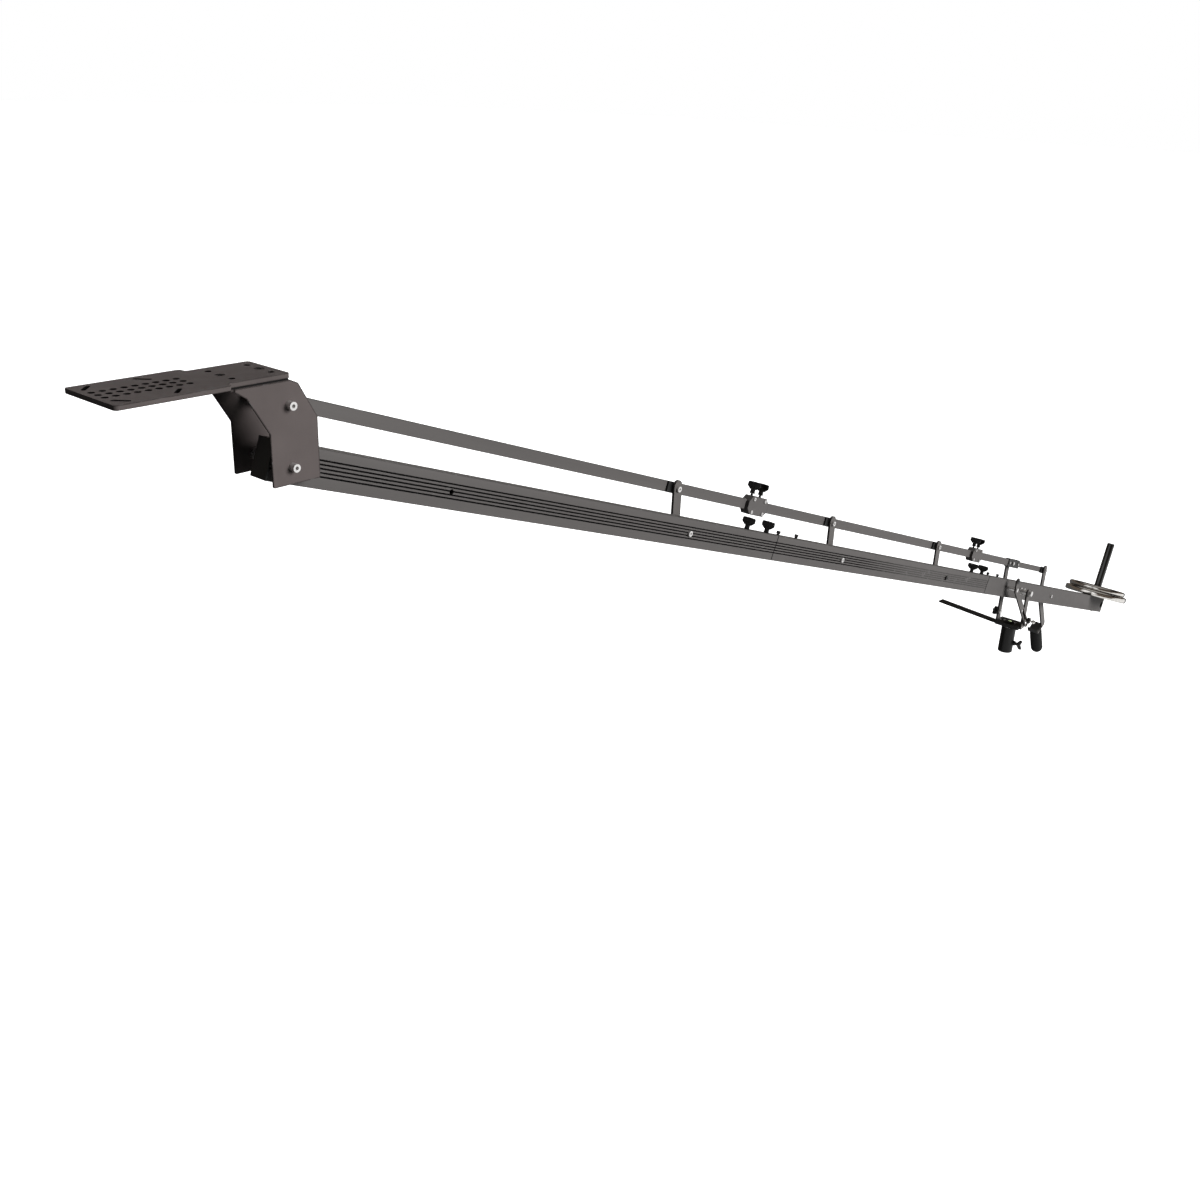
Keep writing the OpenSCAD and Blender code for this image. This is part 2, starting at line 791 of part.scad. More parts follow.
module brake_arm() {
    color([0.16, 0.16, 0.15]) translate([stud_place.x, 0, stud_place.y]) difference() {
        upright(arm_in, arm_out) {
            strap([0, 0], [0, arm_up - arm_w / 2], arm_w);
            rotate(arm_aim) strap([0, 0], [arm_slot_far, 0], arm_w);
        }
        upright(arm_in - cut, arm_out + cut)
            rotate(arm_aim) strap([arm_slot_near, 0], [arm_slot_far, 0], arm_slot_w);
        cross(stud_r + run_clear, arm_in - cut, arm_out + cut);
    }
}

module brake_arm_cap() {
    color([0.04, 0.04, 0.04]) translate([stud_place.x, 0, stud_place.y + arm_up - arm_w / 2])
        cross(arm_cap_r, arm_out, arm_out + arm_cap_t);
}

// Boom

module tube_outline() {
    difference() {
        square([boom_w, boom_h], center = true);
        square([tube_in_w, tube_in_h], center = true);
    }
}

module grooved_outline() {
    difference() {
        tube_outline();
        for (side = [-1, 1], row = [-2 : 2])
            translate([side * half_w, groove_v + row * groove_pitch])
                square([2 * groove_d, groove_w], center = true);
    }
}

// Wing knob stems go through a section's roof on the front side of each joint, bolts on the rear side
module joint_holes() {
    for (joint = joint_places) {
        for (p = [joint + knob_near, joint + knob_far])
            translate([p, 0, 0]) cylinder_from(0, half_h + cut, wing_stem_r + run_clear);
        for (p = [joint - knob_near, joint - knob_far])
            translate([p, 0, 0]) cylinder_from(0, half_h + cut, screw_r + seat_clear);
    }
}

module boom_holes() {
    for (p = link_pivots) translate([p, 0, 0]) cross(bolt_r + seat_clear, -half_w - cut, half_w + cut);
    translate([-lever_p, 0, 0]) cross(bolt_r + seat_clear, -half_w - cut, half_w + cut);
    translate([boom_reach, 0, 0]) cross(bolt_r + run_clear, -half_w - cut, half_w + cut);
    cross(bush_r + seat_clear, -half_w - cut, half_w + cut);
    translate([cross_hole_p, 0, 0]) cross(cross_hole_d / 2, -half_w - cut, half_w + cut);
    translate([tail_hole_in - boom_tail, 0, 0]) cross(tail_hole_d / 2, -half_w - cut, half_w + cut);
    translate([stud_p, 0, stud_v]) cross(stud_r + seat_clear, 0, half_w + cut);
    translate([-rod_p, 0, 0]) {
        cylinder_from(0, half_h + cut, rod_r + seat_clear);
        cylinder_from(-half_h - cut, 0, rod_screw_r + seat_clear);
    }
    joint_holes();
}

module boom_front_tube() {
    color([0.2, 0.19, 0.18]) on_boom() difference() {
        along(front_joint, boom_front - cap_t) grooved_outline();
        boom_holes();
    }
}

module boom_middle_tube() {
    color([0.2, 0.19, 0.18]) on_boom() difference() {
        along(rear_joint, front_joint) grooved_outline();
        boom_holes();
    }
}

module boom_rear_tube() {
    color([0.2, 0.19, 0.18]) on_boom() difference() {
        along(cap_t - boom_tail, rear_joint) tube_outline();
        boom_holes();
    }
}

module joint_sleeves() {
    fit = [tube_in_w - 2 * seat_clear, tube_in_h - 2 * seat_clear];
    color([0.3, 0.3, 0.3]) on_boom() difference() {
        for (joint = joint_places) along(joint - sleeve_l / 2, joint + sleeve_l / 2) difference() {
            square(fit, center = true);
            square(fit - [2 * sleeve_wall, 2 * sleeve_wall], center = true);
        }
        joint_holes();
        translate([stud_p, 0, stud_v]) cross(stud_r + 1, 0, half_w + cut);
    }
}

module end_caps() {
    plug = [tube_in_w - 2 * seat_clear, tube_in_h - 2 * seat_clear];
    color([0.04, 0.04, 0.04]) on_boom() difference() {
        union() {
            along(boom_front - cap_t, boom_front) square([boom_w, boom_h], center = true);
            along(boom_front - cap_t - cap_plug, boom_front - cap_t) square(plug, center = true);
            along(-boom_tail, cap_t - boom_tail) square([boom_w, boom_h], center = true);
            along(cap_t - boom_tail, cap_t + cap_plug - boom_tail) square(plug, center = true);
        }
        translate([boom_reach, 0, 0]) cross(bolt_r + 1, -half_w - cut, half_w + cut);
    }
}

// Tall screws with a collar under the head
module joint_bolts() {
    depth = boom_wall + sleeve_wall + cut;
    color([0.1, 0.1, 0.1]) on_boom() for (joint = joint_places, p = [joint - knob_near, joint - knob_far])
        translate([p, 0, half_h]) {
            cylinder_from(-depth, cut, screw_r);
            cylinder_from(0, joint_collar_h, joint_collar_r);
            difference() {
                cylinder_from(joint_collar_h - cut, joint_collar_h + joint_head_h, joint_head_r);
                translate([0, 0, joint_collar_h + joint_head_h / 2])
                    cylinder(r = joint_head_r / 2, h = joint_head_h, $fn = 6);
            }
        }
}

module link_pivot_bolts() {
    y0 = link_far - slide_clear;
    color([0.25, 0.25, 0.25]) on_boom() for (p = bar_pivots) translate([p, 0, 0]) {
        cross(bolt_r, y0 - nut_h, half_w + 1);
        socket_head(bolt_head_r, half_w, half_w + bolt_head_h);
        nut(nut_r, y0 - nut_h, y0);
        difference() {
            cross(bolt_head_r + 1, link_near + slide_clear, -half_w);
            cross(bolt_r, link_near - cut, cut - half_w);
        }
    }
}

module fulcrum_bush() {
    color([0.72, 0.6, 0.35]) on_boom() difference() {
        cross(bush_r, -half_w - link_gap / 2, half_w + link_gap / 2);
        cross(axle_r + run_clear, -half_w - cut - link_gap, half_w + cut + link_gap);
    }
}

module brake_stud() {
    color("silver") on_boom() translate([stud_p, 0, stud_v]) {
        cross(stud_r, half_w - boom_wall - 4, arm_out + slide_clear + stud_cap_t);
        difference() {
            cross(stud_r + 2, half_w, arm_in - slide_clear);
            cross(stud_r, half_w - cut, arm_in);
        }
        difference() {
            cross(stud_cap_r, arm_out + slide_clear, arm_out + slide_clear + stud_cap_t);
            cross(stud_r, arm_out, arm_out + slide_clear + stud_cap_t + cut);
        }
    }
}

// Counterweight

// The rod goes through the roof of the boom and stands on its floor
module weight_rod() {
    free_z = half_h + disc_t + top_disc_t + 2 * slide_clear + rod_groove_w / 2;
    color([0.07, 0.07, 0.07]) on_boom() translate([-rod_p, 0, 0]) difference() {
        union() {
            cylinder_from(boom_wall - half_h, free_z - rod_groove_w, rod_r);
            cylinder_from(free_z - rod_groove_w, free_z, rod_r - rod_groove_t);
            cylinder_from(free_z, rod_top - rod_tip, rod_r);
            translate([0, 0, rod_top - rod_tip]) cylinder(r1 = rod_r, r2 = rod_r - rod_tip, h = rod_tip);
        }
        cylinder_from(-half_h, rod_screw_l + cut - half_h, rod_screw_r + seat_clear);
    }
}

// Screw that holds the rod from below
module rod_screw() {
    color([0.12, 0.12, 0.12]) on_boom() translate([-rod_p, 0, 0]) {
        cylinder_from(-half_h - cut, rod_screw_l - half_h, rod_screw_r);
        difference() {
            cylinder_from(-half_h - rod_screw_head_h, -half_h, rod_screw_head_r);
            translate([0, 0, -half_h - 2 * rod_screw_head_h + cut])
                cylinder(r = rod_screw_r - cut, h = rod_screw_head_h, $fn = 6);
        }
    }
}

// Weight disc with a rounded edge, and a recess between rim and hub on both faces
module disc(z0, r, t) {
    bore = rod_r + slide_clear;
    web = r - disc_rim;
    lower = [r - disc_edge, disc_edge];
    upper = [r - disc_edge, t - disc_edge];
    edge = concat([for (a = [-90 : 15 : 0]) lower + disc_edge * [cos(a), sin(a)]],
        [for (a = [0 : 15 : 90]) upper + disc_edge * [cos(a), sin(a)]]);
    color([0.8, 0.8, 0.82]) on_boom() translate([-rod_p, 0, z0]) rotate_extrude($fn = 128)
        polygon(concat([[bore, 0], [disc_hub, 0], [disc_hub + disc_recess, disc_recess],
            [web - disc_recess, disc_recess], [web, 0]], edge, [[web, t], [web - disc_recess, t - disc_recess],
            [disc_hub + disc_recess, t - disc_recess], [disc_hub, t], [bore, t]]));
}

module disc_lower() {
    disc(half_h + slide_clear, disc_r, disc_t);
}

module disc_upper() {
    disc(half_h + disc_t + 2 * slide_clear, top_disc_r, top_disc_t);
}

module boom_knob(p) {
    color([0.05, 0.05, 0.05]) on_boom() translate([p, 0, half_h + slide_clear])
        wing_knob(stem_depth, wing_stem_r);
}

module wing_knob_1() {
    boom_knob(front_joint + knob_far);
}

module wing_knob_2() {
    boom_knob(front_joint + knob_near);
}

module wing_knob_3() {
    boom_knob(rear_joint + knob_far);
}

module wing_knob_4() {
    boom_knob(rear_joint + knob_near);
}

// Head

module cheek_outline() {
    polygon(rounded([[top_front, bracket_top], [-web_back, bracket_top],
        [-web_back - 13, bracket_top - web_notch], [5 - bracket_drop, 0.9 * bracket_top],
        [-cheek_back, 0.53 * bracket_top], [-cheek_back, -bracket_drop], [cheek_front, -bracket_drop],
        [cheek_front, 0.43 * bracket_top], [0.74 * top_front, 0.875 * bracket_top]], cheek_r));
}

module head_bracket() {
    color([0.1, 0.1, 0.1]) at_head() difference() {
        union() {
            upright(cheek_in, cheek_out) cheek_outline();
            upright(-cheek_out, -cheek_in) cheek_outline();
            span([-web_back, -cheek_in - cut, bracket_top - bracket_t],
                [top_front - cut, cheek_in + cut, bracket_top]);
        }
        for (z = [0, link_rise])
            translate([0, 0, z]) cross(bolt_r + seat_clear, -cheek_out - cut, cheek_out + cut);
        neck_holes(bracket_top - bracket_t, bracket_top);
    }
}

// Mounting holes of the plate's neck, which go through the pad and the bracket too
module neck_holes(z0, z1) {
    for (x = [neck_hole_1, neck_hole_2], row = hole_rows)
        translate([x, row * neck_hole_y, 0]) cylinder_from(z0 - cut, z1 + cut, hole_d / 2);
}

module head_pad() {
    color([0.03, 0.03, 0.03]) at_head() difference() {
        span([-plate_back + 1, -cheek_in, pad_z], [top_front - 3, cheek_in, plate_z]);
        neck_holes(pad_z, plate_z);
    }
}

module camera_plate() {
    corners = [[-plate_back, -neck_half], [plate_step, -neck_half], [plate_step, -plate_half],
        [plate_front, -plate_half], [plate_front, plate_half], [plate_step, plate_half],
        [plate_step, neck_half], [-plate_back, neck_half]];
    color([0.15, 0.15, 0.15]) at_head() difference() {
        translate([0, 0, plate_z]) linear_extrude(plate_t) difference() {
            polygon(rounded(corners, plate_r));
            for (side = [-1, 1]) {
                translate([slot_front, side * slot_y]) rotate(side * -45) tie_slot();
                translate([slot_rear, side * slot_y]) rotate(side * 45) tie_slot();
            }
        }
        for (column = [0 : grid_columns - 1], row = hole_rows)
            translate([grid_start + column * grid_x, row * grid_y, 0])
                cylinder_from(plate_z - cut, plate_z + plate_t + cut, hole_d / 2);
        neck_holes(plate_z, plate_z + plate_t);
        for (x = [neck_hole_1, neck_hole_2])
            translate([x, 0, 0])
                cylinder_from(plate_z + plate_t - plate_screw_head_h, plate_z + plate_t + cut, plate_screw_head_r);
    }
}

module tie_slot() {
    strap([-slot_l / 2, 0], [slot_l / 2, 0], slot_w);
}

module head_bolts() {
    color("silver") at_head() for (z = [0, link_rise]) translate([0, 0, z]) {
        cross(bolt_r, -cheek_out - nut_h, cheek_out + cut);
        socket_head(bolt_head_r, cheek_out, cheek_out + head_bolt_face);
        nut(nut_r, -cheek_out - nut_h, -cheek_out);
    }
}

module head_tube(y0, y1) {
    difference() {
        cross(spacer_r, y0, y1);
        cross(bolt_r + seat_clear, y0 - cut, y1 + cut);
    }
}

module head_spacers() {
    color([0.6, 0.6, 0.6]) at_head() {
        head_tube(half_w + slide_clear, cheek_in);
        head_tube(-cheek_in, -half_w - slide_clear);
        translate([0, 0, link_rise]) {
            head_tube(-cheek_in, bar_far - slide_clear);
            head_tube(bar_near + slide_clear, cheek_in);
        }
    }
}

module plate_screws() {
    z1 = plate_z + plate_t - 0.5;
    color([0.05, 0.05, 0.05]) at_head() for (x = [neck_hole_1, neck_hole_2]) translate([x, 0, 0]) {
        cylinder_from(bracket_top - bracket_t - nut_h, z1 - 1, hole_d / 2 - seat_clear);
        difference() {
            cylinder_from(plate_z + plate_t - plate_screw_head_h, z1, plate_screw_head_r - seat_clear);
            cylinder_from(z1 - 2, z1 + cut, plate_screw_head_r / 2);
        }
        translate([0, 0, bracket_top - bracket_t - nut_h]) cylinder(r = nut_r, h = nut_h, $fn = 6);
    }
}

// Upper bar

module bar_outline(h) {
    translate([bar_mid, 0]) square([bar_t, h], center = true);
}

module bar_holes() {
    for (p = bar_pivots)
        translate([p, 0, 0]) cross(bolt_r + seat_clear, bar_far - cut, bar_near + cut);
    translate([boom_reach, 0, 0]) cross(bolt_r + open_clear, bar_far - cut, bar_near + cut);
    cross(bolt_r + run_clear, bar_far - cut, bar_near + connector_near);
    for (c = connector_places, side = [-1, 1])
        translate([c + side * connector_knobs / 2, bar_mid, 0])
            cylinder_from(-bar_h, bar_h, wing_stem_r + run_clear);
    for (c = connector_places, i = [-1, 1], k = [-1, 1])
        translate([c + i * connector_screw_x, 0, k * connector_screw_z])
            cross(screw_r + seat_clear, bar_far - cut, bar_near + cut);
    for (p = collar_screws)
        translate([p, 0, 0]) cross(screw_r + seat_clear, bar_far - cut, bar_near + cut);
}

module bar_front() {
    color([0.12, 0.12, 0.12]) on_bar() difference() {
        along(connector_1_p, bar_nose) bar_outline(bar_h);
        bar_holes();
    }
}

module bar_middle() {
    color([0.12, 0.12, 0.12]) on_bar() difference() {
        along(connector_2_p, connector_1_p) bar_outline(bar_h);
        bar_holes();
    }
}

module bar_rear() {
    color([0.12, 0.12, 0.12]) on_bar() difference() {
        along(-seam_back, connector_2_p) bar_outline(bar_h);
        bar_holes();
    }
}

module bar_tail() {
    color([0.12, 0.12, 0.12]) on_bar() difference() {
        along(-bar_end, -seam_back) bar_outline(tail_h);
        bar_holes();
    }
}

module connector_outline() {
    l = connector_l / 2;
    h = connector_h / 2;
    c = connector_cut;
    polygon([[-l, c - h], [c - l, -h], [l - c, -h], [l, c - h], [l, h - c], [l - c, h], [c - l, h], [-l, h - c]]);
}

module bar_connectors() {
    color([0.09, 0.09, 0.09]) on_bar() for (p = connector_places) translate([p, 0, 0]) difference() {
        upright(connector_far_y, connector_near_y) connector_outline();
        along(-connector_l, connector_l) translate([bar_mid, 0])
            square([bar_t + 2 * seat_clear, bar_h + 2 * seat_clear], center = true);
        for (side = [-1, 1])
            translate([side * connector_knobs / 2, bar_mid, 0])
                cylinder_from(0, connector_h, wing_stem_r + run_clear);
        for (i = [-1, 1], k = [-1, 1])
            translate([i * connector_screw_x, 0, k * connector_screw_z])
                cross(screw_r + seat_clear, bar_far, connector_near_y + cut);
    }
}

// Screws of the connectors and of the collar, all facing the near side
module bar_screws() {
    color("silver") on_bar() {
        for (p = connector_places, i = [-1, 1], k = [-1, 1])
            translate([p + i * connector_screw_x, connector_near_y, k * connector_screw_z])
                rotate([-90, 0, 0]) screw(connector_near_y - bar_far);
        for (p = collar_screws)
            translate([p, bar_near + collar_wall, 0]) rotate([-90, 0, 0]) screw(collar_wall + screw_depth);
    }
}

module bar_collar() {
    color([0.05, 0.05, 0.05]) on_bar() difference() {
        span([-collar_back, bar_far, -collar_h / 2], [collar_front, bar_near + collar_wall, collar_h / 2]);
        along(-seam_back, collar_front + cut) translate([bar_mid - cut, 0])
            square([bar_t + 2 * cut, bar_h + 2 * seat_clear], center = true);
        along(-collar_back - cut, -seam_back) translate([bar_mid - cut, 0])
            square([bar_t + 2 * cut, tail_h + 2 * seat_clear], center = true);
        cross(bolt_r + run_clear, bar_far - cut, bar_near + connector_near);
        for (p = collar_screws)
            translate([p, 0, 0]) cross(screw_r + seat_clear, bar_far, bar_near + connector_near);
    }
}

module bar_spacers() {
    color([0.04, 0.04, 0.04]) on_bar() for (p = bar_pivots) difference() {
        span([p - link_w / 2, bar_near, -bar_h / 2],
            [p + link_w / 2 + block_front, link_far - slide_clear, bar_h / 2]);
        translate([p, 0, 0]) cross(bolt_r + seat_clear, bar_near - cut, link_far + cut);
    }
}

module bar_bolts() {
    y1 = link_near + slide_clear;
    color("silver") on_bar() for (p = bar_pivots) translate([p, 0, 0]) {
        cross(bolt_r, bar_far - nut_h, y1 + 1);
        socket_head(bolt_head_r, y1, y1 + bolt_head_h);
        nut(nut_r, bar_far - nut_h, bar_far);
    }
}

module bar_knob(c, side) {
    color([0.05, 0.05, 0.05]) on_bar()
        translate([c + side * connector_knobs / 2, bar_mid, connector_h / 2 + bar_knob_lift]) {
            wing_knob(bar_knob_lift + connector_h / 2 - bar_h / 2 + 4, wing_stem_r);
        }
}

module bar_knob_1() {
    bar_knob(connector_1_p, 1);
}

module bar_knob_2() {
    bar_knob(connector_1_p, -1);
}

module bar_knob_3() {
    bar_knob(connector_2_p, 1);
}

module bar_knob_4() {
    bar_knob(connector_2_p, -1);
}

// Links and lever

module link_strap(p) {
    top = link_rise + link_top - link_w / 2;
    color([0.15, 0.15, 0.14]) at_pivot(p) difference() {
        upright(link_far, link_near) strap([0, link_w / 2 - link_foot], [0, top], link_w);
        cross(bolt_r + run_clear, link_far - cut, link_near + cut);
        translate([0, 0, link_rise]) cross(bolt_r + open_clear, link_far - cut, link_near + cut);
    }
}

module link_1() {
    link_strap(link_1_p);
}

module link_2() {
    link_strap(link_2_p);
}

module link_3() {
    link_strap(link_3_p);
}

lever_knee = [0, -lever_drop];
lever_way = [sin(lever_lean), cos(lever_lean)];
lever_tip = lever_knee - lever_low * lever_way;
grip_y = link_near - grip_bracket_w / 2;

// Frame of the grip: its axis points up from the top of the grip
module at_grip() {
    at_pivot(-lever_p) translate([lever_tip.x, grip_y, lever_tip.y]) rotate([0, grip_lean, 0])
        translate([grip_ahead, 0, -link_w / 2 - slide_clear]) children();
}

// Outline of the lever strap: upright above its knee, leaning back below it, with round ends
module lever_outline() {
    half = link_w / 2;
    knee_side = half / cos(lever_lean / 2) * [cos(lever_lean / 2), -sin(lever_lean / 2)];
    end_side = half * [lever_way.y, -lever_way.x];
    end = lever_tip - half * lever_way;
    polygon(rounded([[half, link_rise + link_top], [-half, link_rise + link_top], lever_knee - knee_side,
        end - end_side, end + end_side, lever_knee + knee_side], half - slide_clear));
}

// Lever strap with the angle bracket that carries the grip
module lever_strap() {
    half = grip_bracket_w / 2;
    color([0.13, 0.13, 0.12]) {
        at_pivot(-lever_p) difference() {
            upright(link_far, link_near) lever_outline();
            cross(bolt_r + run_clear, link_far - cut, link_near + cut);
            translate([0, 0, link_rise]) cross(bolt_r + open_clear, link_far - cut, link_near + cut);
        }
        at_grip() {
            upright(-half, half - 1) polygon([[-grip_ahead - link_w / 4, 0], [grip_r, 0], [grip_r, grip_bracket_h],
                [grip_r - grip_bracket_t, grip_bracket_h], [grip_r - grip_bracket_t, grip_bracket_t],
                [-grip_ahead - link_w / 4, grip_bracket_t]]);
            cylinder_from(-tang_l, grip_bracket_t - 1, tang_r);
        }
    }
}

module lever_grip() {
    color([0.05, 0.05, 0.05]) at_grip() difference() {
        rotate_extrude($fn = 96) polygon(concat([[0, 0]],
            [for (a = [90 : -15 : 0]) [grip_r - grip_end_r + grip_end_r * cos(a), grip_end_r * (sin(a) - 1)]],
            [for (a = [0 : -10 : -90]) [grip_r * cos(a), grip_r - grip_l + grip_r * sin(a)]]));
        cylinder_from(-tang_l - 1, cut, tang_r + grip_bore_clear);
    }
}

// Each node by its name

stand_sleeve();
thrust_washer();
sleeve_clamp_screw();
base_channel();
turntable_hub();
kingpin();
bubble_level();
yoke_screws();
far_post();
near_upright();
fulcrum_axle();
fulcrum_washers();
pan_pivot_bolts();
star_knob();
accessory_bar();
brake_clamp_knob();
brake_clamp_chrome();
boom_front_tube();
boom_middle_tube();
boom_rear_tube();
joint_sleeves();
end_caps();
joint_bolts();
link_pivot_bolts();
fulcrum_bush();
brake_stud();
weight_rod();
rod_screw();
disc_lower();
disc_upper();
wing_knob_1();
wing_knob_2();
wing_knob_3();
wing_knob_4();
brake_arm();
brake_arm_cap();
head_bracket();
head_pad();
camera_plate();
head_bolts();
head_spacers();
plate_screws();
bar_front();
bar_middle();
bar_rear();
bar_tail();
bar_connectors();
bar_screws();
bar_collar();
bar_spacers();
bar_bolts();
bar_knob_1();
bar_knob_2();
bar_knob_3();
bar_knob_4();
link_1();
link_2();
link_3();
lever_strap();
lever_grip();
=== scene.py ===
import json
import math

import bmesh
import bpy
import numpy as np
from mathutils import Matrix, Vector


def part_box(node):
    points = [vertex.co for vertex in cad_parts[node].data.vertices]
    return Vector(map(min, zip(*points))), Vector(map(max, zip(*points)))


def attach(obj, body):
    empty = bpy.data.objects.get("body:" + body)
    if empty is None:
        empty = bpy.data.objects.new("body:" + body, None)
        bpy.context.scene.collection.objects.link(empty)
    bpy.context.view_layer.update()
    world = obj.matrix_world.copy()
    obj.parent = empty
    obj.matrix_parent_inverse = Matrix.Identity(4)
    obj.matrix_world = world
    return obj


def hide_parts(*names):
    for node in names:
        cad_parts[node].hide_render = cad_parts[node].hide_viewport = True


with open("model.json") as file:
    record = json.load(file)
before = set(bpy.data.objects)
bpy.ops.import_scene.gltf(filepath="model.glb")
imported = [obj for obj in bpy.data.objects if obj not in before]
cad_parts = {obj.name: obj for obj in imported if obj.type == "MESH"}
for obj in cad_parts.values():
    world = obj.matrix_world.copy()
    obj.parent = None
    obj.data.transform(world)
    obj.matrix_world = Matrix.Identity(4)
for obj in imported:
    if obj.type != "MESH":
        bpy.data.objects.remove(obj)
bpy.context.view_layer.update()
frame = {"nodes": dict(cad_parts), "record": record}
nodes = frame["nodes"]
joints = {joint["name"]: joint for joint in frame["record"]["behaviour"]["joints"]}
mm = 0.001                   # a millimetre in metres
print("frame loaded:", len(nodes), "nodes")


# Places that the frame gives

def unitOf(values):
    values = np.array(values, float)
    return values / np.linalg.norm(values)


fulcrum = np.array(joints["boom_tilt"]["pos_m"])
boomUp = unitOf(joints["lower_disc_lift"]["axis"])     # square to the boom, upwards
acrossY = np.array([0.0, 1.0, 0.0])
boomAlong = unitOf(np.cross(acrossY, boomUp))          # along the boom, forwards
boomTurn = -math.atan2(boomAlong[2], boomAlong[0])
levelAxes = np.eye(3)
boomAxes = np.stack([boomAlong, acrossY, boomUp])      # rows are the frame's x, y and z


# Points of a local frame in the world: the origin plus x, y and z times the frame's three axes.
def placed(points, origin, axes):
    return np.asarray(origin) + np.asarray(points) @ np.asarray(axes)


# Meshes from grids

meshing = {
    "sharp": 32,           # degrees between faces, past which an edge stays sharp
    "merge": 1e-6,         # metres within which two points become one
    "sliver": 1e-7,
    "arcShare": 0.62,      # of the shorter stretch at a corner, the most that its arc takes
    "straight": 1.55,      # radians of half a corner, past which it counts as straight
}


# A grid of points becomes quads between neighbouring rows and columns, closed round either way or open.
def gridPiece(name, grid, closeU=False, closeV=True, sharp=meshing["sharp"]):
    rows, columns = grid.shape[:2]
    index = np.arange(rows * columns).reshape(rows, columns)
    down = np.roll(index, -1, 0) if closeU else index[1:]
    top = index if closeU else index[:-1]
    if closeV:
        quads = np.stack([top, np.roll(top, -1, 1), np.roll(down, -1, 1), down], -1)
    else:
        quads = np.stack([top[:, :-1], top[:, 1:], down[:, 1:], down[:, :-1]], -1)
    faces = [tuple(q) for q in quads.reshape(-1, 4).tolist()]
    mesh = bpy.data.meshes.new(name)
    mesh.from_pydata(grid.reshape(-1, 3).tolist(), [], faces)
    cleaned(mesh)
    shade(mesh, sharp)
    piece = bpy.data.objects.new(name, mesh)
    bpy.context.scene.collection.objects.link(piece)
    return piece


# Doubled points are merged, flat slivers removed and every face turned outwards.
def cleaned(mesh):
    work = bmesh.new()
    work.from_mesh(mesh)
    bmesh.ops.remove_doubles(work, verts=work.verts, dist=meshing["merge"])
    bmesh.ops.dissolve_degenerate(work, edges=work.edges, dist=meshing["sliver"])
    bmesh.ops.recalc_face_normals(work, faces=work.faces)
    work.to_mesh(mesh)
    work.free()


def shade(mesh, sharp):
    mesh.polygons.foreach_set("use_smooth", np.ones(len(mesh.polygons), bool))
    mesh.set_sharp_from_angle(angle=math.radians(sharp))


# Several pieces become one mesh under one name.
def joined(name, parts):
    work = bmesh.new()
    for part in parts:
        work.from_mesh(part.data)
    mesh = bpy.data.meshes.new(name)
    work.to_mesh(mesh)
    work.free()
    shade(mesh, meshing["sharp"])
    for part in parts:
        bpy.data.objects.remove(part)
    piece = bpy.data.objects.new(name, mesh)
    bpy.context.scene.collection.objects.link(piece)
    return piece


# A profile of straight stretches, with an arc of the given radius at each corner. A point of the arc mixes
# its two ends by the sines of their shares of the sweep.
def roundedProfile(points, radii, steps=5):
    points = np.array(points, float)
    out = [points[0]]
    for before, here, after, radius in zip(points[:-2], points[1:-1], points[2:], radii):
        back, ahead = unitOf(before - here), unitOf(after - here)
        half = math.acos(np.clip(back @ ahead, -1, 1)) / 2
        if radius <= 0 or half > meshing["straight"]:
            out.append(here)
            continue
        room = min(np.linalg.norm(before - here), np.linalg.norm(after - here))
        reach = min(radius / math.tan(half), meshing["arcShare"] * room)
        start, end = here + back * reach, here + ahead * reach
        centre = here + unitOf(back + ahead) * reach / math.cos(half)
        sweep = np.pi - 2 * half
        share = np.linspace(0, 1, steps + 1)[:, None]
        near, far = np.sin((1 - share) * sweep), np.sin(share * sweep)
        out.extend(centre + ((start - centre) * near + (end - centre) * far) / math.sin(sweep))
    out.append(points[-1])
    return np.array(out)


# A profile of radius and height is carried round the local z axis: x is r cos a, y is r sin a.
def turned(name, profile, origin, axes, around=64, sharp=meshing["sharp"], closed=False):
    profile = np.asarray(profile, float)
    angle = np.linspace(0, 2 * np.pi, around, endpoint=False)
    radius, height = profile[:, 0, None], profile[:, 1, None]
    grid = np.stack([radius * np.cos(angle), radius * np.sin(angle), height + 0 * angle], -1)
    return gridPiece(name, placed(grid, origin, axes), closeU=closed, sharp=sharp)


# Axes whose z runs along a direction, with y as near to a given side as it can be.
def axesAlong(direction, side):
    z = unitOf(direction)
    x = unitOf(np.cross(side, z))
    return np.stack([x, np.cross(z, x), z])


# Materials

def newMaterial(name):
    made = bpy.data.materials.new(name)
    made.use_nodes = True
    tree = made.node_tree
    shader = tree.nodes["Principled BSDF"]
    return made, tree, shader


# Noise on Object coordinates, turned and stretched by a Mapping node.
def linkedNoise(tree, scale, detail=4.0, rough=0.55, stretch=(1, 1, 1), turn=(0, 0, 0)):
    where = tree.nodes.new("ShaderNodeTexCoord")
    mapping = tree.nodes.new("ShaderNodeMapping")
    mapping.vector_type = "TEXTURE"
    mapping.inputs["Rotation"].default_value = turn
    mapping.inputs["Scale"].default_value = stretch
    noise = tree.nodes.new("ShaderNodeTexNoise")
    noise.inputs["Scale"].default_value = scale
    noise.inputs["Detail"].default_value = detail
    noise.inputs["Roughness"].default_value = rough
    tree.links.new(where.outputs["Object"], mapping.inputs["Vector"])
    tree.links.new(mapping.outputs["Vector"], noise.inputs["Vector"])
    return noise.outputs["Fac"]


def ramp(tree, value, low, high, start=0.3, end=0.7):
    node = tree.nodes.new("ShaderNodeValToRGB")
    node.color_ramp.elements[0].position = start
    node.color_ramp.elements[1].position = end
    node.color_ramp.elements[0].color = (*low, 1)
    node.color_ramp.elements[1].color = (*high, 1)
    tree.links.new(value, node.inputs["Fac"])
    return node.outputs["Color"]


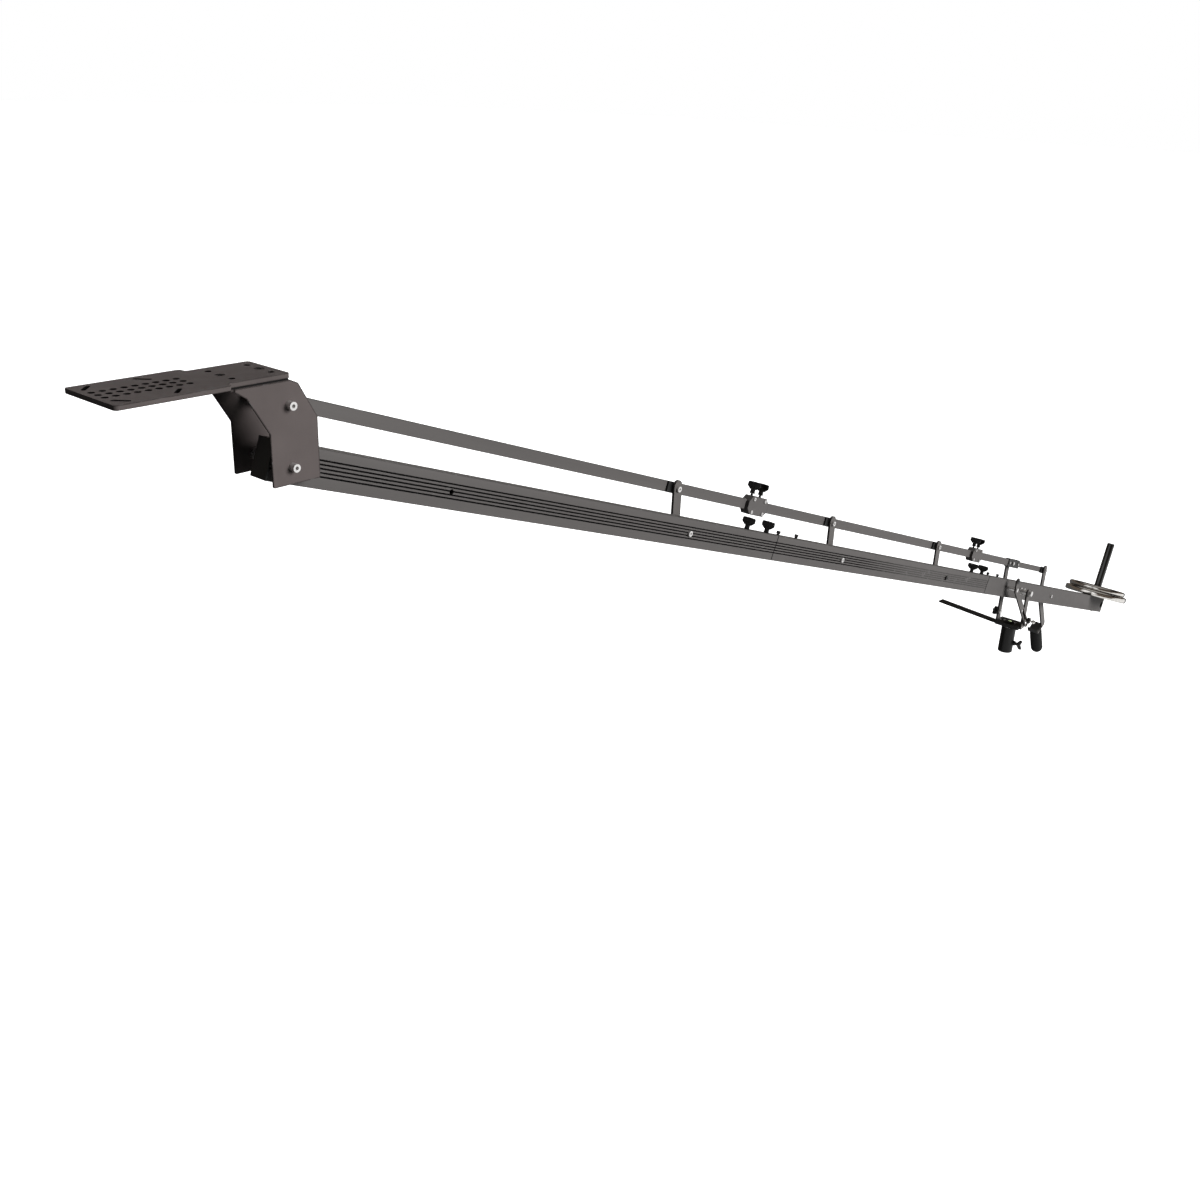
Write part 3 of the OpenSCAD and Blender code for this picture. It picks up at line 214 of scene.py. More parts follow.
def spread(tree, value, low, high):
    node = tree.nodes.new("ShaderNodeMapRange")
    node.inputs["To Min"].default_value = low
    node.inputs["To Max"].default_value = high
    tree.links.new(value, node.inputs["Value"])
    return node.outputs["Result"]


def bumped(tree, shader, value, distance, strength=0.6):
    node = tree.nodes.new("ShaderNodeBump")
    node.inputs["Distance"].default_value = distance
    node.inputs["Strength"].default_value = strength
    tree.links.new(value, node.inputs["Height"])
    tree.links.new(node.outputs["Normal"], shader.inputs["Normal"])


def scaled(colour, factor):
    return tuple(min(1.0, channel * factor) for channel in colour)


# Runs from 0 to 1 between two values.
def stepped(tree, value, start, end):
    node = tree.nodes.new("ShaderNodeMapRange")
    node.inputs["From Min"].default_value = start
    node.inputs["From Max"].default_value = end
    tree.links.new(value, node.inputs["Value"])
    return node.outputs["Result"]


# Where the rounded normal leaves the flat one, an edge is near.
def edgeNear(tree, radius, low=0.001, high=0.06, samples=6):
    bevel = tree.nodes.new("ShaderNodeBevel")
    bevel.samples = samples
    bevel.inputs["Radius"].default_value = radius
    flat = tree.nodes.new("ShaderNodeNewGeometry")
    dot = tree.nodes.new("ShaderNodeVectorMath")
    dot.operation = "DOT_PRODUCT"
    tree.links.new(bevel.outputs["Normal"], dot.inputs[0])
    tree.links.new(flat.outputs["True Normal"], dot.inputs[1])
    return stepped(tree, math2(tree, "SUBTRACT", 1.0, dot.outputs["Value"]), low, high)


# Mixes two colours; each may be a socket or a plain colour.
def mixed(tree, factor, first, second):
    node = tree.nodes.new("ShaderNodeMix")
    node.data_type = "RGBA"
    tree.links.new(factor, node.inputs["Factor"])
    for value, socket in ((first, node.inputs["A"]), (second, node.inputs["B"])):
        if isinstance(value, tuple):
            socket.default_value = (*value, 1)
        else:
            tree.links.new(value, socket)
    return node.outputs["Result"]


# One Math node; each value may be a socket or a plain number.
def math2(tree, operation, first, second=0.0):
    node = tree.nodes.new("ShaderNodeMath")
    node.operation = operation
    for value, socket in ((first, node.inputs[0]), (second, node.inputs[1])):
        if isinstance(value, (int, float)):
            socket.default_value = value
        else:
            tree.links.new(value, socket)
    return node.outputs[0]


# Distance from an origin along a direction, in Object coordinates.
def alongAxis(tree, direction, origin):
    where = tree.nodes.new("ShaderNodeTexCoord")
    dot = tree.nodes.new("ShaderNodeVectorMath")
    dot.operation = "DOT_PRODUCT"
    dot.inputs[1].default_value = tuple(float(v) for v in direction)
    tree.links.new(where.outputs["Object"], dot.inputs[0])
    return math2(tree, "SUBTRACT", dot.outputs["Value"], float(np.dot(direction, origin)))


wearAndEdgeShade = {
    "patches": 9,                       # scale of the slow patches in the colour
    "edgeShade": 0.3,                   # of the colour, where dirt lies along an edge
    "nicks": 45,
    "nickRange": (0.6, 0.68),           # stretch of the noise over which a nick opens
    "nickColour": (0.3, 0.3, 0.3),
    # of the colour, in the painted shade along an edge
    "gloss": 40,
    "glossRange": (-0.07, 0.09),
}


# Powder coat: slow patches in the colour, painted shade and a few bare nicks along the edges, orange peel in
# the bump.
# A cover is a function that gives a mask for another colour, with a sheen of its own.
def coat(name, colour, rough=0.42, mottle=0.18, grain=900, grainDepth=0.06 * mm, turn=(0, 0, 0),
         stretch=(1, 1, 1), edgeShading=0.6, nicks=0.5, sheen=0.09, edgeWidth=1.8 * mm,
         cover=None, coverColour=(0.003, 0.003, 0.003), coverSheen=0.0):
    made, tree, shader = newMaterial(name)
    patches = linkedNoise(tree, wearAndEdgeShade["patches"], detail=6, stretch=stretch, turn=turn)
    colourOut = ramp(tree, patches, scaled(colour, 1 - mottle), scaled(colour, 1 + mottle))
    edge = edgeNear(tree, edgeWidth)
    # Painted edge shade: the colour darkens along every edge.
    edgeShaded = math2(tree, "MULTIPLY", edge, edgeShading)
    colourOut = mixed(tree, edgeShaded, colourOut, scaled(colour, wearAndEdgeShade["edgeShade"]))
    bare = stepped(tree, linkedNoise(tree, wearAndEdgeShade["nicks"], detail=6), *wearAndEdgeShade["nickRange"])
    nicked = math2(tree, "MULTIPLY", math2(tree, "MULTIPLY", edge, bare), nicks)
    colourOut = mixed(tree, nicked, colourOut, wearAndEdgeShade["nickColour"])
    shader.inputs["Specular IOR Level"].default_value = sheen
    if cover:
        mask = cover(tree)
        colourOut = mixed(tree, mask, colourOut, coverColour)
        kept = math2(tree, "SUBTRACT", sheen, math2(tree, "MULTIPLY", mask, sheen - coverSheen))
        tree.links.new(kept, shader.inputs["Specular IOR Level"])
    tree.links.new(colourOut, shader.inputs["Base Color"])
    low, high = (rough + change for change in wearAndEdgeShade["glossRange"])
    gloss = spread(tree, linkedNoise(tree, wearAndEdgeShade["gloss"], detail=5), low, high)
    tree.links.new(gloss, shader.inputs["Roughness"])
    bumped(tree, shader, linkedNoise(tree, grain, detail=2), grainDepth)
    return made


polish = {"shades": (0.86, 1.06), "glossRange": (-0.05, 0.07), "leastRough": 0.02, "bump": 0.4}


# Bright metal: fine marks in roughness and bump, drawn out along the way it was worked.
def metal(name, colour, rough=0.25, turn=(0, 0, 0), stretch=(1, 1, 1), grain=300, depth=0.02 * mm,
          metallic=1.0, cover=None):
    made, tree, shader = newMaterial(name)
    marks = linkedNoise(tree, grain, detail=3, stretch=stretch, turn=turn)
    colourOut = ramp(tree, marks, *(scaled(colour, share) for share in polish["shades"]))
    if cover:
        colourOut = mixed(tree, cover(tree), colourOut, finishes["oxide"])
    tree.links.new(colourOut, shader.inputs["Base Color"])
    low, high = (max(polish["leastRough"], rough + change) for change in polish["glossRange"])
    tree.links.new(spread(tree, marks, low, high), shader.inputs["Roughness"])
    bumped(tree, shader, marks, depth, polish["bump"])
    shader.inputs["Metallic"].default_value = metallic
    return made


scuffing = {"scale": 60, "pale": 1.7, "range": (0.45, 0.85), "glossRange": (-0.05, 0.12)}


# Moulded plastic or rubber: an even colour with faint scuffs over a fine grain.
def moulded(name, colour, rough=0.45, grain=1400, depth=0.08 * mm, sheen=0.3):
    made, tree, shader = newMaterial(name)
    scuffs = linkedNoise(tree, scuffing["scale"], detail=7, rough=0.7)
    colourOut = ramp(tree, scuffs, colour, scaled(colour, scuffing["pale"]), *scuffing["range"])
    tree.links.new(colourOut, shader.inputs["Base Color"])
    low, high = (rough + change for change in scuffing["glossRange"])
    tree.links.new(spread(tree, scuffs, low, high), shader.inputs["Roughness"])
    bumped(tree, shader, linkedNoise(tree, grain, detail=2), depth)
    shader.inputs["Specular IOR Level"].default_value = sheen
    return made


groove = {
    "middle": 1.3 * mm, "pitch": 6.5 * mm, "width": 2.8 * mm, "rows": 5,
    "fade": (1.0, 1.35),     # metres ahead of the fulcrum, over which the grooves gain their full shade
    "faint": 0.2,            # their share of it nearer to the fulcrum
}
seam = {"places": (1848 * mm, 352 * mm), "width": 3.2 * mm, "slant": 0.1}


# Deep shade where the height above the boom's middle falls in a groove, or the length on a seam.
# The grooves end at the rear seam.
def grooveShade(tree):
    high = alongAxis(tree, boomUp, fulcrum + boomUp * groove["middle"])
    far = alongAxis(tree, boomAlong, fulcrum)
    half = groove["rows"] / 2 * groove["pitch"]
    step = math2(tree, "DIVIDE", math2(tree, "ADD", high, half), groove["pitch"])
    off = math2(tree, "ABSOLUTE", math2(tree, "SUBTRACT", math2(tree, "FRACT", step), 0.5))
    inGroove = math2(tree, "LESS_THAN", off, groove["width"] / groove["pitch"] / 2)
    inBand = math2(tree, "LESS_THAN", math2(tree, "ABSOLUTE", high), half)
    grooved = math2(tree, "MULTIPLY", inGroove, inBand)
    grooved = math2(tree, "MULTIPLY", grooved, math2(tree, "GREATER_THAN", far, seam["places"][1]))
    strength = math2(tree, "MULTIPLY", stepped(tree, far, *groove["fade"]), 1 - groove["faint"])
    grooved = math2(tree, "MULTIPLY", grooved, math2(tree, "ADD", strength, groove["faint"]))
    far = math2(tree, "ADD", far, math2(tree, "MULTIPLY", high, seam["slant"]))
    for place in seam["places"]:
        apart = math2(tree, "ABSOLUTE", math2(tree, "SUBTRACT", far, place))
        grooved = math2(tree, "MAXIMUM", grooved, math2(tree, "LESS_THAN", apart, seam["width"] / 2))
    return grooved


bracketSide = -26.2 * mm


# The grip's bracket lies beyond the strap's far face, and is black.
def bracketShade(tree):
    return math2(tree, "LESS_THAN", alongAxis(tree, acrossY, np.zeros(3)), bracketSide)


blackBolt = (0.0, 1.0)       # metres ahead of the fulcrum


# The pivot bolt of the rear link is black, those of the other links and the lever are bright.
def rearBoltShade(tree):
    far = alongAxis(tree, boomAlong, fulcrum)
    ahead = math2(tree, "GREATER_THAN", far, blackBolt[0])
    return math2(tree, "MULTIPLY", ahead, math2(tree, "LESS_THAN", far, blackBolt[1]))


holeWall = {"front": 178 * mm, "frontHalf": 66 * mm, "neckHalf": 52 * mm, "margin": 4 * mm, "upright": 0.5}


# Painted shade on the walls of the camera plate's holes: upright faces well inside its front or its neck turn
# near black, without sheen.
def holeShade(tree):
    low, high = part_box("camera_plate")
    geometry = tree.nodes.new("ShaderNodeNewGeometry")
    facing = tree.nodes.new("ShaderNodeSeparateXYZ")
    tree.links.new(geometry.outputs["True Normal"], facing.inputs[0])
    slope = math2(tree, "ABSOLUTE", facing.outputs["Z"])
    upright = math2(tree, "LESS_THAN", slope, holeWall["upright"])
    across = math2(tree, "ABSOLUTE", alongAxis(tree, acrossY, np.zeros(3)))
    ahead = alongAxis(tree, np.array([1.0, 0, 0]), np.zeros(3))
    beforeEnd = math2(tree, "LESS_THAN", ahead, float(high[0]) - holeWall["margin"])

    def inside(start, half):
        past = math2(tree, "GREATER_THAN", ahead, float(start) + holeWall["margin"])
        within = math2(tree, "LESS_THAN", across, half - holeWall["margin"])
        return math2(tree, "MULTIPLY", math2(tree, "MULTIPLY", past, within), beforeEnd)

    either = math2(tree, "MAXIMUM", inside(high[0] - holeWall["front"], holeWall["frontHalf"]),
                   inside(low[0], holeWall["neckHalf"]))
    return math2(tree, "MULTIPLY", upright, either)


finishes = {
    "boomGrey": (0.082, 0.077, 0.075),
    "strapGrey": (0.088, 0.082, 0.079),
    "headGrey": (0.082, 0.07, 0.068),
    "steelBlack": (0.012, 0.0118, 0.0115),
    "glossBlack": (0.004, 0.004, 0.004),
    "plateBlack": (0.08, 0.069, 0.067),
    "nylonBlack": (0.006, 0.006, 0.006),
    "rubberBlack": (0.009, 0.009, 0.009),
    "zinc": (0.7, 0.69, 0.68),
    "chrome": (0.74, 0.72, 0.69),
    "aluminium": (0.4, 0.4, 0.4),
    "bronze": (0.5, 0.36, 0.16),
    "oxide": (0.02, 0.02, 0.02),
    "vialGreen": (0.62, 0.75, 0.45),
}
boomPattern = {"turn": (0, boomTurn, 0), "stretch": (14, 1, 1)}
boomCoat = coat("boomCoat", finishes["boomGrey"], rough=0.48, mottle=0.12, edgeWidth=2.5 * mm,
                cover=grooveShade, **boomPattern)
strapCoat = coat("strapCoat", finishes["strapGrey"], rough=0.42, mottle=0.2, stretch=(1, 1, 5), sheen=0.1)
leverCoat = coat("leverCoat", finishes["strapGrey"], rough=0.42, mottle=0.2, sheen=0.25,
                 cover=bracketShade, coverColour=finishes["steelBlack"], coverSheen=0.4)
headCoat = coat("headCoat", finishes["headGrey"], rough=0.45, mottle=0.1, edgeShading=0.95, nicks=0.2,
                edgeWidth=3.5 * mm)
blackCoat = coat("blackCoat", finishes["steelBlack"], rough=0.38, sheen=0.25, edgeShading=0.2)
barCoat = coat("barCoat", finishes["boomGrey"], rough=0.45, mottle=0.14, edgeShading=0.8, edgeWidth=2.5 * mm,
               **boomPattern)
plateCoat = coat("plateCoat", finishes["plateBlack"], rough=0.5, mottle=0.14, edgeShading=0.9, nicks=0.2,
                 edgeWidth=2 * mm, cover=holeShade)
blackGloss = coat("blackGloss", finishes["glossBlack"], rough=0.2, sheen=0.9, grainDepth=0.005 * mm, edgeShading=0.2)
nylon = moulded("nylon", finishes["nylonBlack"], rough=0.36)
rubber = moulded("rubber", finishes["rubberBlack"], rough=0.6, grain=700, depth=0.2 * mm, sheen=0.15)
zinc = metal("zinc", finishes["zinc"], rough=0.3, metallic=0.7)
pivotZinc = metal("pivotZinc", finishes["zinc"], rough=0.3, metallic=0.7, cover=rearBoltShade)
chrome = metal("chrome", finishes["chrome"], rough=0.1, grain=160, depth=0.002 * mm)
aluminium = metal("aluminium", finishes["aluminium"], rough=0.38, **boomPattern)
bronze = metal("bronze", finishes["bronze"], rough=0.3)
oxide = coat("oxide", finishes["oxide"], rough=0.3, mottle=0.1, sheen=0.4)
print("materials made:", len(bpy.data.materials))

nodeFinish = {
    boomCoat: ["boom_front_tube", "boom_middle_tube", "boom_rear_tube"],
    strapCoat: ["far_post", "near_upright", "brake_arm", "link_1", "link_2", "link_3"],
    leverCoat: ["lever_strap"],
    headCoat: ["head_bracket"],
    blackCoat: ["stand_sleeve", "base_channel", "turntable_hub", "accessory_bar", "weight_rod", "rod_screw",
                "bar_collar"],
    barCoat: ["bar_front", "bar_middle", "bar_rear", "bar_tail", "bar_connectors"],
    plateCoat: ["camera_plate"],
    nylon: ["star_knob", "brake_clamp_knob", "end_caps", "brake_arm_cap", "bar_spacers", "bubble_level"]
    + [f"wing_knob_{i}" for i in range(1, 5)] + [f"bar_knob_{i}" for i in range(1, 5)],
    rubber: ["head_pad", "lever_grip"],
    zinc: ["thrust_washer", "kingpin", "fulcrum_axle", "fulcrum_washers", "pan_pivot_bolts", "brake_stud",
           "head_bolts", "bar_bolts", "bar_screws", "yoke_screws", "sleeve_clamp_screw"],
    pivotZinc: ["link_pivot_bolts"],
    chrome: ["brake_clamp_chrome", "disc_lower", "disc_upper"],
    aluminium: ["joint_sleeves", "head_spacers"],
    bronze: ["fulcrum_bush"],
    oxide: ["joint_bolts", "plate_screws"],
}
for material, names in nodeFinish.items():
    for name in names:
        mesh = nodes[name].data
        mesh.materials.clear()
        mesh.materials.append(material)
print("finishes on the nodes")


# Gives a new piece its material and its body, and hides the nodes that it stands for.
def dress(piece, material, body, slot, *replaced):
    piece.data.materials.clear()
    piece.data.materials.append(material)
    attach(piece, body)
    if replaced:
        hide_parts(*replaced)
    return piece


# Wing knobs

wingKnob = {
    "halfSpan": 18.5 * mm, "height": 29 * mm, "thickness": 3.5 * mm, "base": 9 * mm, "edge": 11 * mm,
    "rise": 0.7 * mm, "round": 3 * mm, "middle": 0.63, "pinch": 0.2, "swell": 0.9,
    "stem": 3 * mm, "depth": 13 * mm, "flange": 6.5 * mm, "flangeTop": 3 * mm, "neck": 6 * mm,
    "hub": 6.4 * mm, "hubStart": 9 * mm, "hubTop": 20 * mm, "step": 1 * mm, "points": 120, "rows": 17,
    "coreRounds": [0.5 * mm, 0, 0.6 * mm, 0.9 * mm, 1 * mm, 1 * mm, 1 * mm, 2 * mm],
    "barDepth": 19 * mm,     # the stem's depth in the upper bar
}


# Points of a closed outline set at even steps of its length, found by linear interpolation.
def resampled(points, count):
    closed = np.vstack([points, points[:1]])
    steps = np.linalg.norm(np.diff(closed, axis=0), axis=1)
    length = np.concatenate([[0], np.cumsum(steps)])
    where = np.linspace(0, length[-1], count, endpoint=False)
    return np.stack([np.interp(where, length, closed[:, i]) for i in range(2)], -1)


# A pillow over the fan outline: with a turn from pole to pole, the outline grows from its middle by a power
# of the cosine, and the surface bulges to both sides by a power of the sine.
def fanWings(name, size, origin, axes):
    span, top, step = size["halfSpan"], size["height"], size["step"]
    foot = [0, size["hubStart"] + step]
    right = [[size["base"], foot[1]], [span, top - size["edge"]], [span - step, top]]
    left = [[-x, z] for x, z in right[::-1]]
    loop = [foot] + right + [[0, top + size["rise"]]] + left + [foot]
    outline = resampled(roundedProfile(loop, [size["round"]] * (len(loop) - 2))[:-1], size["points"])
    middle = np.array([0, size["middle"] * top])
    turn = np.linspace(-np.pi / 2, np.pi / 2, size["rows"])[:, None, None]
    pinch = np.abs(np.cos(turn)) ** size["pinch"]
    across = size["thickness"] * np.sign(np.sin(turn)) * np.abs(np.sin(turn)) ** size["swell"]
    flat = middle + (outline[None] - middle) * pinch
    grid = np.concatenate([across + 0 * flat[..., :1], flat[..., :1], flat[..., 1:]], -1)
    return gridPiece(name, placed(grid, origin, axes), sharp=50)


# A turned stem, flange, neck and hub with a fan of wings across them.
def wingKnobPiece(name, size, seat, up, side):
    axes = axesAlong(up, side)
    stem, flange, neck, hub = (size[part] for part in ("stem", "flange", "neck", "hub"))
    flangeTop, hubStart, hubTop, step = (size[part] for part in ("flangeTop", "hubStart", "hubTop", "step"))
    corners = [
        [0, -size["depth"]], [stem, -size["depth"]], [stem, 0], [flange, 0], [flange, flangeTop],
        [neck, flangeTop + step], [neck, hubStart], [hub, hubStart + step], [hub, hubTop], [0, hubTop],
    ]
    core = turned(name + "Core", roundedProfile(corners, size["coreRounds"]), seat, axes, around=40)
    wings = fanWings(name + "Wings", size, seat, axes)
    return joined(name, [core, wings])


slideGap = 0.3 * mm          # between pieces that move past each other
for number in range(1, 5):
    joint = joints[f"boom_knob_{number}_turn"]
    seat = np.array(joint["pos_m"]) + boomUp * slideGap
    knob = wingKnobPiece(f"boomKnob{number}", wingKnob, seat, boomUp, acrossY)
    dress(knob, nylon, f"boom_knob_{number}", "black_plastic", f"wing_knob_{number}")
barKnobLift = 5 * mm         # from the joint's place to the connector's seat
for number in range(1, 5):
    joint = joints[f"upper_knob_{number}_turn"]
    seat = np.array(joint["pos_m"]) + boomUp * barKnobLift
    size = dict(wingKnob, depth=wingKnob["barDepth"])
    knob = wingKnobPiece(f"barKnob{number}", size, seat, boomUp, acrossY)
    dress(knob, nylon, f"upper_knob_{number}", "black_plastic", f"bar_knob_{number}")

clampWing = dict(wingKnob, stem=3.9 * mm, depth=13.8 * mm, rise=-6.9 * mm)
low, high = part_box("sleeve_clamp_screw")
clampSeat = np.array([0, high[1] - clampWing["height"], (low[2] + high[2]) / 2])
knob = wingKnobPiece("sleeveClamp", clampWing, clampSeat, acrossY, np.array([0, 0, 1.0]))
dress(knob, oxide, "sleeve_clamp", "steel", "sleeve_clamp_screw")
print("wing knobs made")


# Lobed knobs

# A turned profile whose radius gains a share of a wave of the angle: r(1 - depth(1 - cos(n a)) / 2).
def lobed(name, profile, lobes, depth, origin, axes, around=120):
    profile = np.asarray(profile, float)
    angle = np.linspace(0, 2 * np.pi, around, endpoint=False)
    wave = 1 - depth * (1 - np.cos(lobes * angle)) / 2
    radius, height = profile[:, 0, None], profile[:, 1, None]
    grid = np.stack([radius * wave * np.cos(angle), radius * wave * np.sin(angle), height + 0 * angle], -1)
    return gridPiece(name, placed(grid, origin, axes), sharp=45)


starKnob = {
    "radius": 17 * mm, "thickness": 12 * mm, "lobes": 5, "lobeDepth": 0.34, "dish": (5 * mm, 6 * mm, 1 * mm),
    "headRounds": [0.5 * mm, 1 * mm, 4 * mm, 4 * mm],
    "hub": 7.9 * mm, "standoff": 6 * mm, "bore": 4.1 * mm, "overlap": 1 * mm,
    "hubRounds": [0, 0.8 * mm, 0.3 * mm],
}
starAxes = axesAlong(acrossY, np.array([0, 0, 1.0]))


# A lobed head, dished on its outer face, with a turned hub towards the post.
def starKnobPiece(name, size):
    low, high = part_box("star_knob")
    place = np.array([0, low[1], joints["post_knob_turn"]["pos_m"][2]])
    radius, thickness, bore, hub = (size[part] for part in ("radius", "thickness", "bore", "hub"))
    dishInner, dishOuter, dishDepth = size["dish"]
    headCorners = [[0, dishDepth], [dishInner, dishDepth], [dishOuter, 0], [radius, 0], [radius, thickness],
                   [0, thickness]]
    headLine = roundedProfile(headCorners, size["headRounds"])
    head = lobed("starHead", headLine, size["lobes"], size["lobeDepth"], place, starAxes)
    inner, end = thickness - size["overlap"], thickness + size["standoff"]
    hubCorners = [[bore, inner], [hub, inner], [hub, end], [bore, end], [bore, thickness]]
    shaft = turned("starHub", roundedProfile(hubCorners, size["hubRounds"]), place, starAxes, around=48)
    return joined(name, [head, shaft])


dress(starKnobPiece("starKnob", starKnob), nylon, "post_knob", "black_plastic", "star_knob")

clampKnob = {
    "radius": 11.3 * mm, "length": 14 * mm, "bore": 3.1 * mm, "foot": 7 * mm, "shoulder": (8 * mm, 2.5 * mm),
    "grip": 3.5 * mm, "lobes": 6, "lobeDepth": 0.2, "rounds": [0.4 * mm, 1 * mm, 1.5 * mm, 2.5 * mm],
}
clampHeight = joints["brake_clamp_turn"]["pos_m"][2]


# A small lobed knob on a narrower foot.
def clampKnobPiece(name, size):
    low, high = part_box("brake_clamp_knob")
    radius, length, bore = size["radius"], size["length"], size["bore"]
    corners = [[bore, 0], [size["foot"], 0], list(size["shoulder"]), [radius, size["grip"]], [radius, length],
               [0, length]]
    line = roundedProfile(corners, size["rounds"])
    place = np.array([0, low[1], clampHeight])
    return lobed(name, line, size["lobes"], size["lobeDepth"], place, starAxes)


dress(clampKnobPiece("clampKnob", clampKnob), nylon, "brake_clamp", "black_plastic", "brake_clamp_knob")

clampChrome = {
    "bore": 3.1 * mm, "washer": 9 * mm, "washerThick": 3 * mm, "washerRounds": [0.6 * mm, 0.6 * mm],
    "neck": 3 * mm, "neckLength": 5 * mm, "ball": 7 * mm, "steps": 16,
    "ballStart": 0.45,       # radians from the ball's pole, where its neck begins
}


# A washer at the far side, and a ball on a neck at the near one: the ball's section is its radius times the
# cosine and the sine of an angle.
def clampChromePiece(name, size):
    low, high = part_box("brake_clamp_chrome")
    bore, outer, thick, ball = (size[part] for part in ("bore", "washer", "washerThick", "ball"))
    washerLine = roundedProfile([[bore, 0], [outer, 0], [outer, thick], [bore, thick]], size["washerRounds"])
    side = np.array([0, low[1], clampHeight])
    washer = turned("clampWasher", washerLine, side, starAxes, around=48, closed=True)
    angle = np.linspace(-np.pi / 2 + size["ballStart"], np.pi / 2, size["steps"])
    foot = -ball - size["neckLength"]
    neckLine = [[0, foot], [size["neck"], foot]]
    ballLine = np.concatenate([neckLine, np.stack([ball * np.cos(angle), ball * np.sin(angle)], -1)])
    ballLine[-1, 0] = 0
    place = np.array([0, high[1] - ball, clampHeight])
    return joined(name, [washer, turned("clampBall", ballLine, place, starAxes, around=40)])


dress(clampChromePiece("clampChrome", clampChrome), chrome, "brake_clamp", "chrome", "brake_clamp_chrome")
print("lobed knobs made")


# Weight discs and their rod

disc = {
    "rim": 14 * mm, "recess": 2 * mm, "hub": 32 * mm, "bore": 15.4 * mm, "edge": 8 * mm, "margin": 0.1 * mm,
    "hubRound": 1 * mm, "faceRound": 1.5 * mm,
    "lower": (126 * mm, 24 * mm), "upper": (115 * mm, 20 * mm),       # radius and thickness
}


# A ring whose section has a round edge, a recess and a hub on both faces, turned about the weight rod.
def discPiece(name, node, body, sizes):
    outer, half = sizes[0] - disc["margin"], sizes[1] / 2 - disc["margin"]
    low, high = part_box(node)
    centre = (np.array(low) + np.array(high)) / 2
    recess, hub, bore = disc["recess"], disc["hub"], disc["bore"]
    web, sunk = outer - disc["rim"], half - recess
    upper = [[bore, half], [hub, half], [hub + recess, sunk], [web - recess, sunk], [web, half],
             [outer, half]]
    lower = [[r, -z] for r, z in upper[::-1]]
    upperRounds = [disc["hubRound"]] + [disc["faceRound"]] * 3 + [disc["edge"]]
    line = roundedProfile(upper + lower, upperRounds + upperRounds[::-1], steps=8)
    piece = turned(name, line, centre, boomAxes, around=180, closed=True, sharp=60)
    return dress(piece, chrome, body, "chrome", node)


discPiece("lowerDisc", "disc_lower", "lower_disc", disc["lower"])
discPiece("upperDisc", "disc_upper", "upper_disc", disc["upper"])

rod = {"radius": 15 * mm, "low": -28 * mm, "top": 264.9 * mm, "tip": 3 * mm, "round": 1 * mm}
boomHalfHeight = 31.75 * mm


# A turned bar with a chamfered tip, which stands in the boom below the discs' middle.
def rodPiece(name, size):
    low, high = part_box("disc_lower")
    discMiddle = (np.array(low) + np.array(high)) / 2
    foot = discMiddle - boomUp * (boomHalfHeight + slideGap + disc["lower"][1] / 2)
    radius, top, tip = size["radius"], size["top"], size["tip"]
    corners = [[0, size["low"]], [radius, size["low"]], [radius, top - tip], [radius - tip, top], [0, top]]
    return turned(name, roundedProfile(corners, [size["round"]] * 3), foot, boomAxes, around=72)


dress(rodPiece("weightRod", rod), blackGloss, "boom", "black_steel", "weight_rod")
print("weight discs made")


# Grip and bubble level

lever = {"drop": 6 * mm, "lean": 31, "low": 177 * mm, "side": 42 * mm, "strap": 28 * mm}
grip = {
    "lean": 28.5, "ahead": 24 * mm, "radius": 23 * mm, "length": 134 * mm, "margin": 0.05 * mm,
    "shoulder": 8 * mm, "shoulderRun": 30 * mm, "bore": 6.2 * mm, "steps": 20,
}


# A turned handle hung below the lever's tip: a rounded shoulder, a straight run, and a half ball whose
# section is the radius times the cosine and the sine of an angle.
def gripPiece(name, size):
    lean = math.radians(lever["lean"])
    strapWay = np.array([math.sin(lean), 0, math.cos(lean)])
    pivot = np.array(joints["lever_level"]["pos_m"])
    tip = pivot - np.array([0, 0, lever["drop"]]) - lever["low"] * strapWay
    turn = math.radians(size["lean"])
    axes = np.array([[math.cos(turn), 0, -math.sin(turn)], [0, 1, 0], [math.sin(turn), 0, math.cos(turn)]])
    below = np.array([size["ahead"], 0, -lever["strap"] / 2 - slideGap])
    top = tip - np.array([0, lever["side"], 0]) + below @ axes
    radius = size["radius"] - size["margin"]
    angle = np.linspace(0, -np.pi / 2, size["steps"])
    endMiddle = size["radius"] - size["length"]
    end = np.stack([radius * np.cos(angle), endMiddle + radius * np.sin(angle)], -1)
    corners = [[size["bore"], 0], [radius, 0], [radius, -size["shoulderRun"]]]
    line = np.concatenate([roundedProfile(corners, [size["shoulder"]], steps=8), end])
    line[-1, 0] = 0
    return turned(name, line, top, axes, around=96)


dress(gripPiece("gripRubber", grip), rubber, "lever", "rubber", "lever_grip")

level = {
    "outer": 14.5 * mm, "height": 4 * mm, "lip": 0.8 * mm, "rounds": [0.2 * mm, 0.9 * mm, 0.6 * mm],
    "glass": 9.5 * mm, "dome": 2.6 * mm, "domeRise": 1.2 * mm, "steps": 12, "window": 6.5 * mm,
    "black": (0.02, 0.02, 0.02), "clouds": 90, "cloudPale": 1.3, "grain": 200, "rough": (0.1, 0.22),
}
low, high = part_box("bubble_level")
levelPlace = np.array([(low[0] + high[0]) / 2, (low[1] + high[1]) / 2, low[2]])


# A turned housing with a glass whose height falls with the square of the way out from its middle.
def levelPiece(name, size):
    outer, height, glass = size["outer"], size["height"], size["glass"]
    corners = [[0, 0], [outer, 0], [outer, height], [glass + size["lip"], height], [glass, size["dome"]]]
    inward = np.linspace(0, 1, size["steps"])
    rise = size["dome"] + size["domeRise"] * (1 - (1 - inward) ** 2)
    dome = np.stack([glass * (1 - inward), rise], -1)
    line = np.concatenate([roundedProfile(corners, size["rounds"]), dome[1:]])
    return turned(name, line, levelPlace, levelAxes, around=64)


levelHousing = levelPiece("bubbleLevel", level)


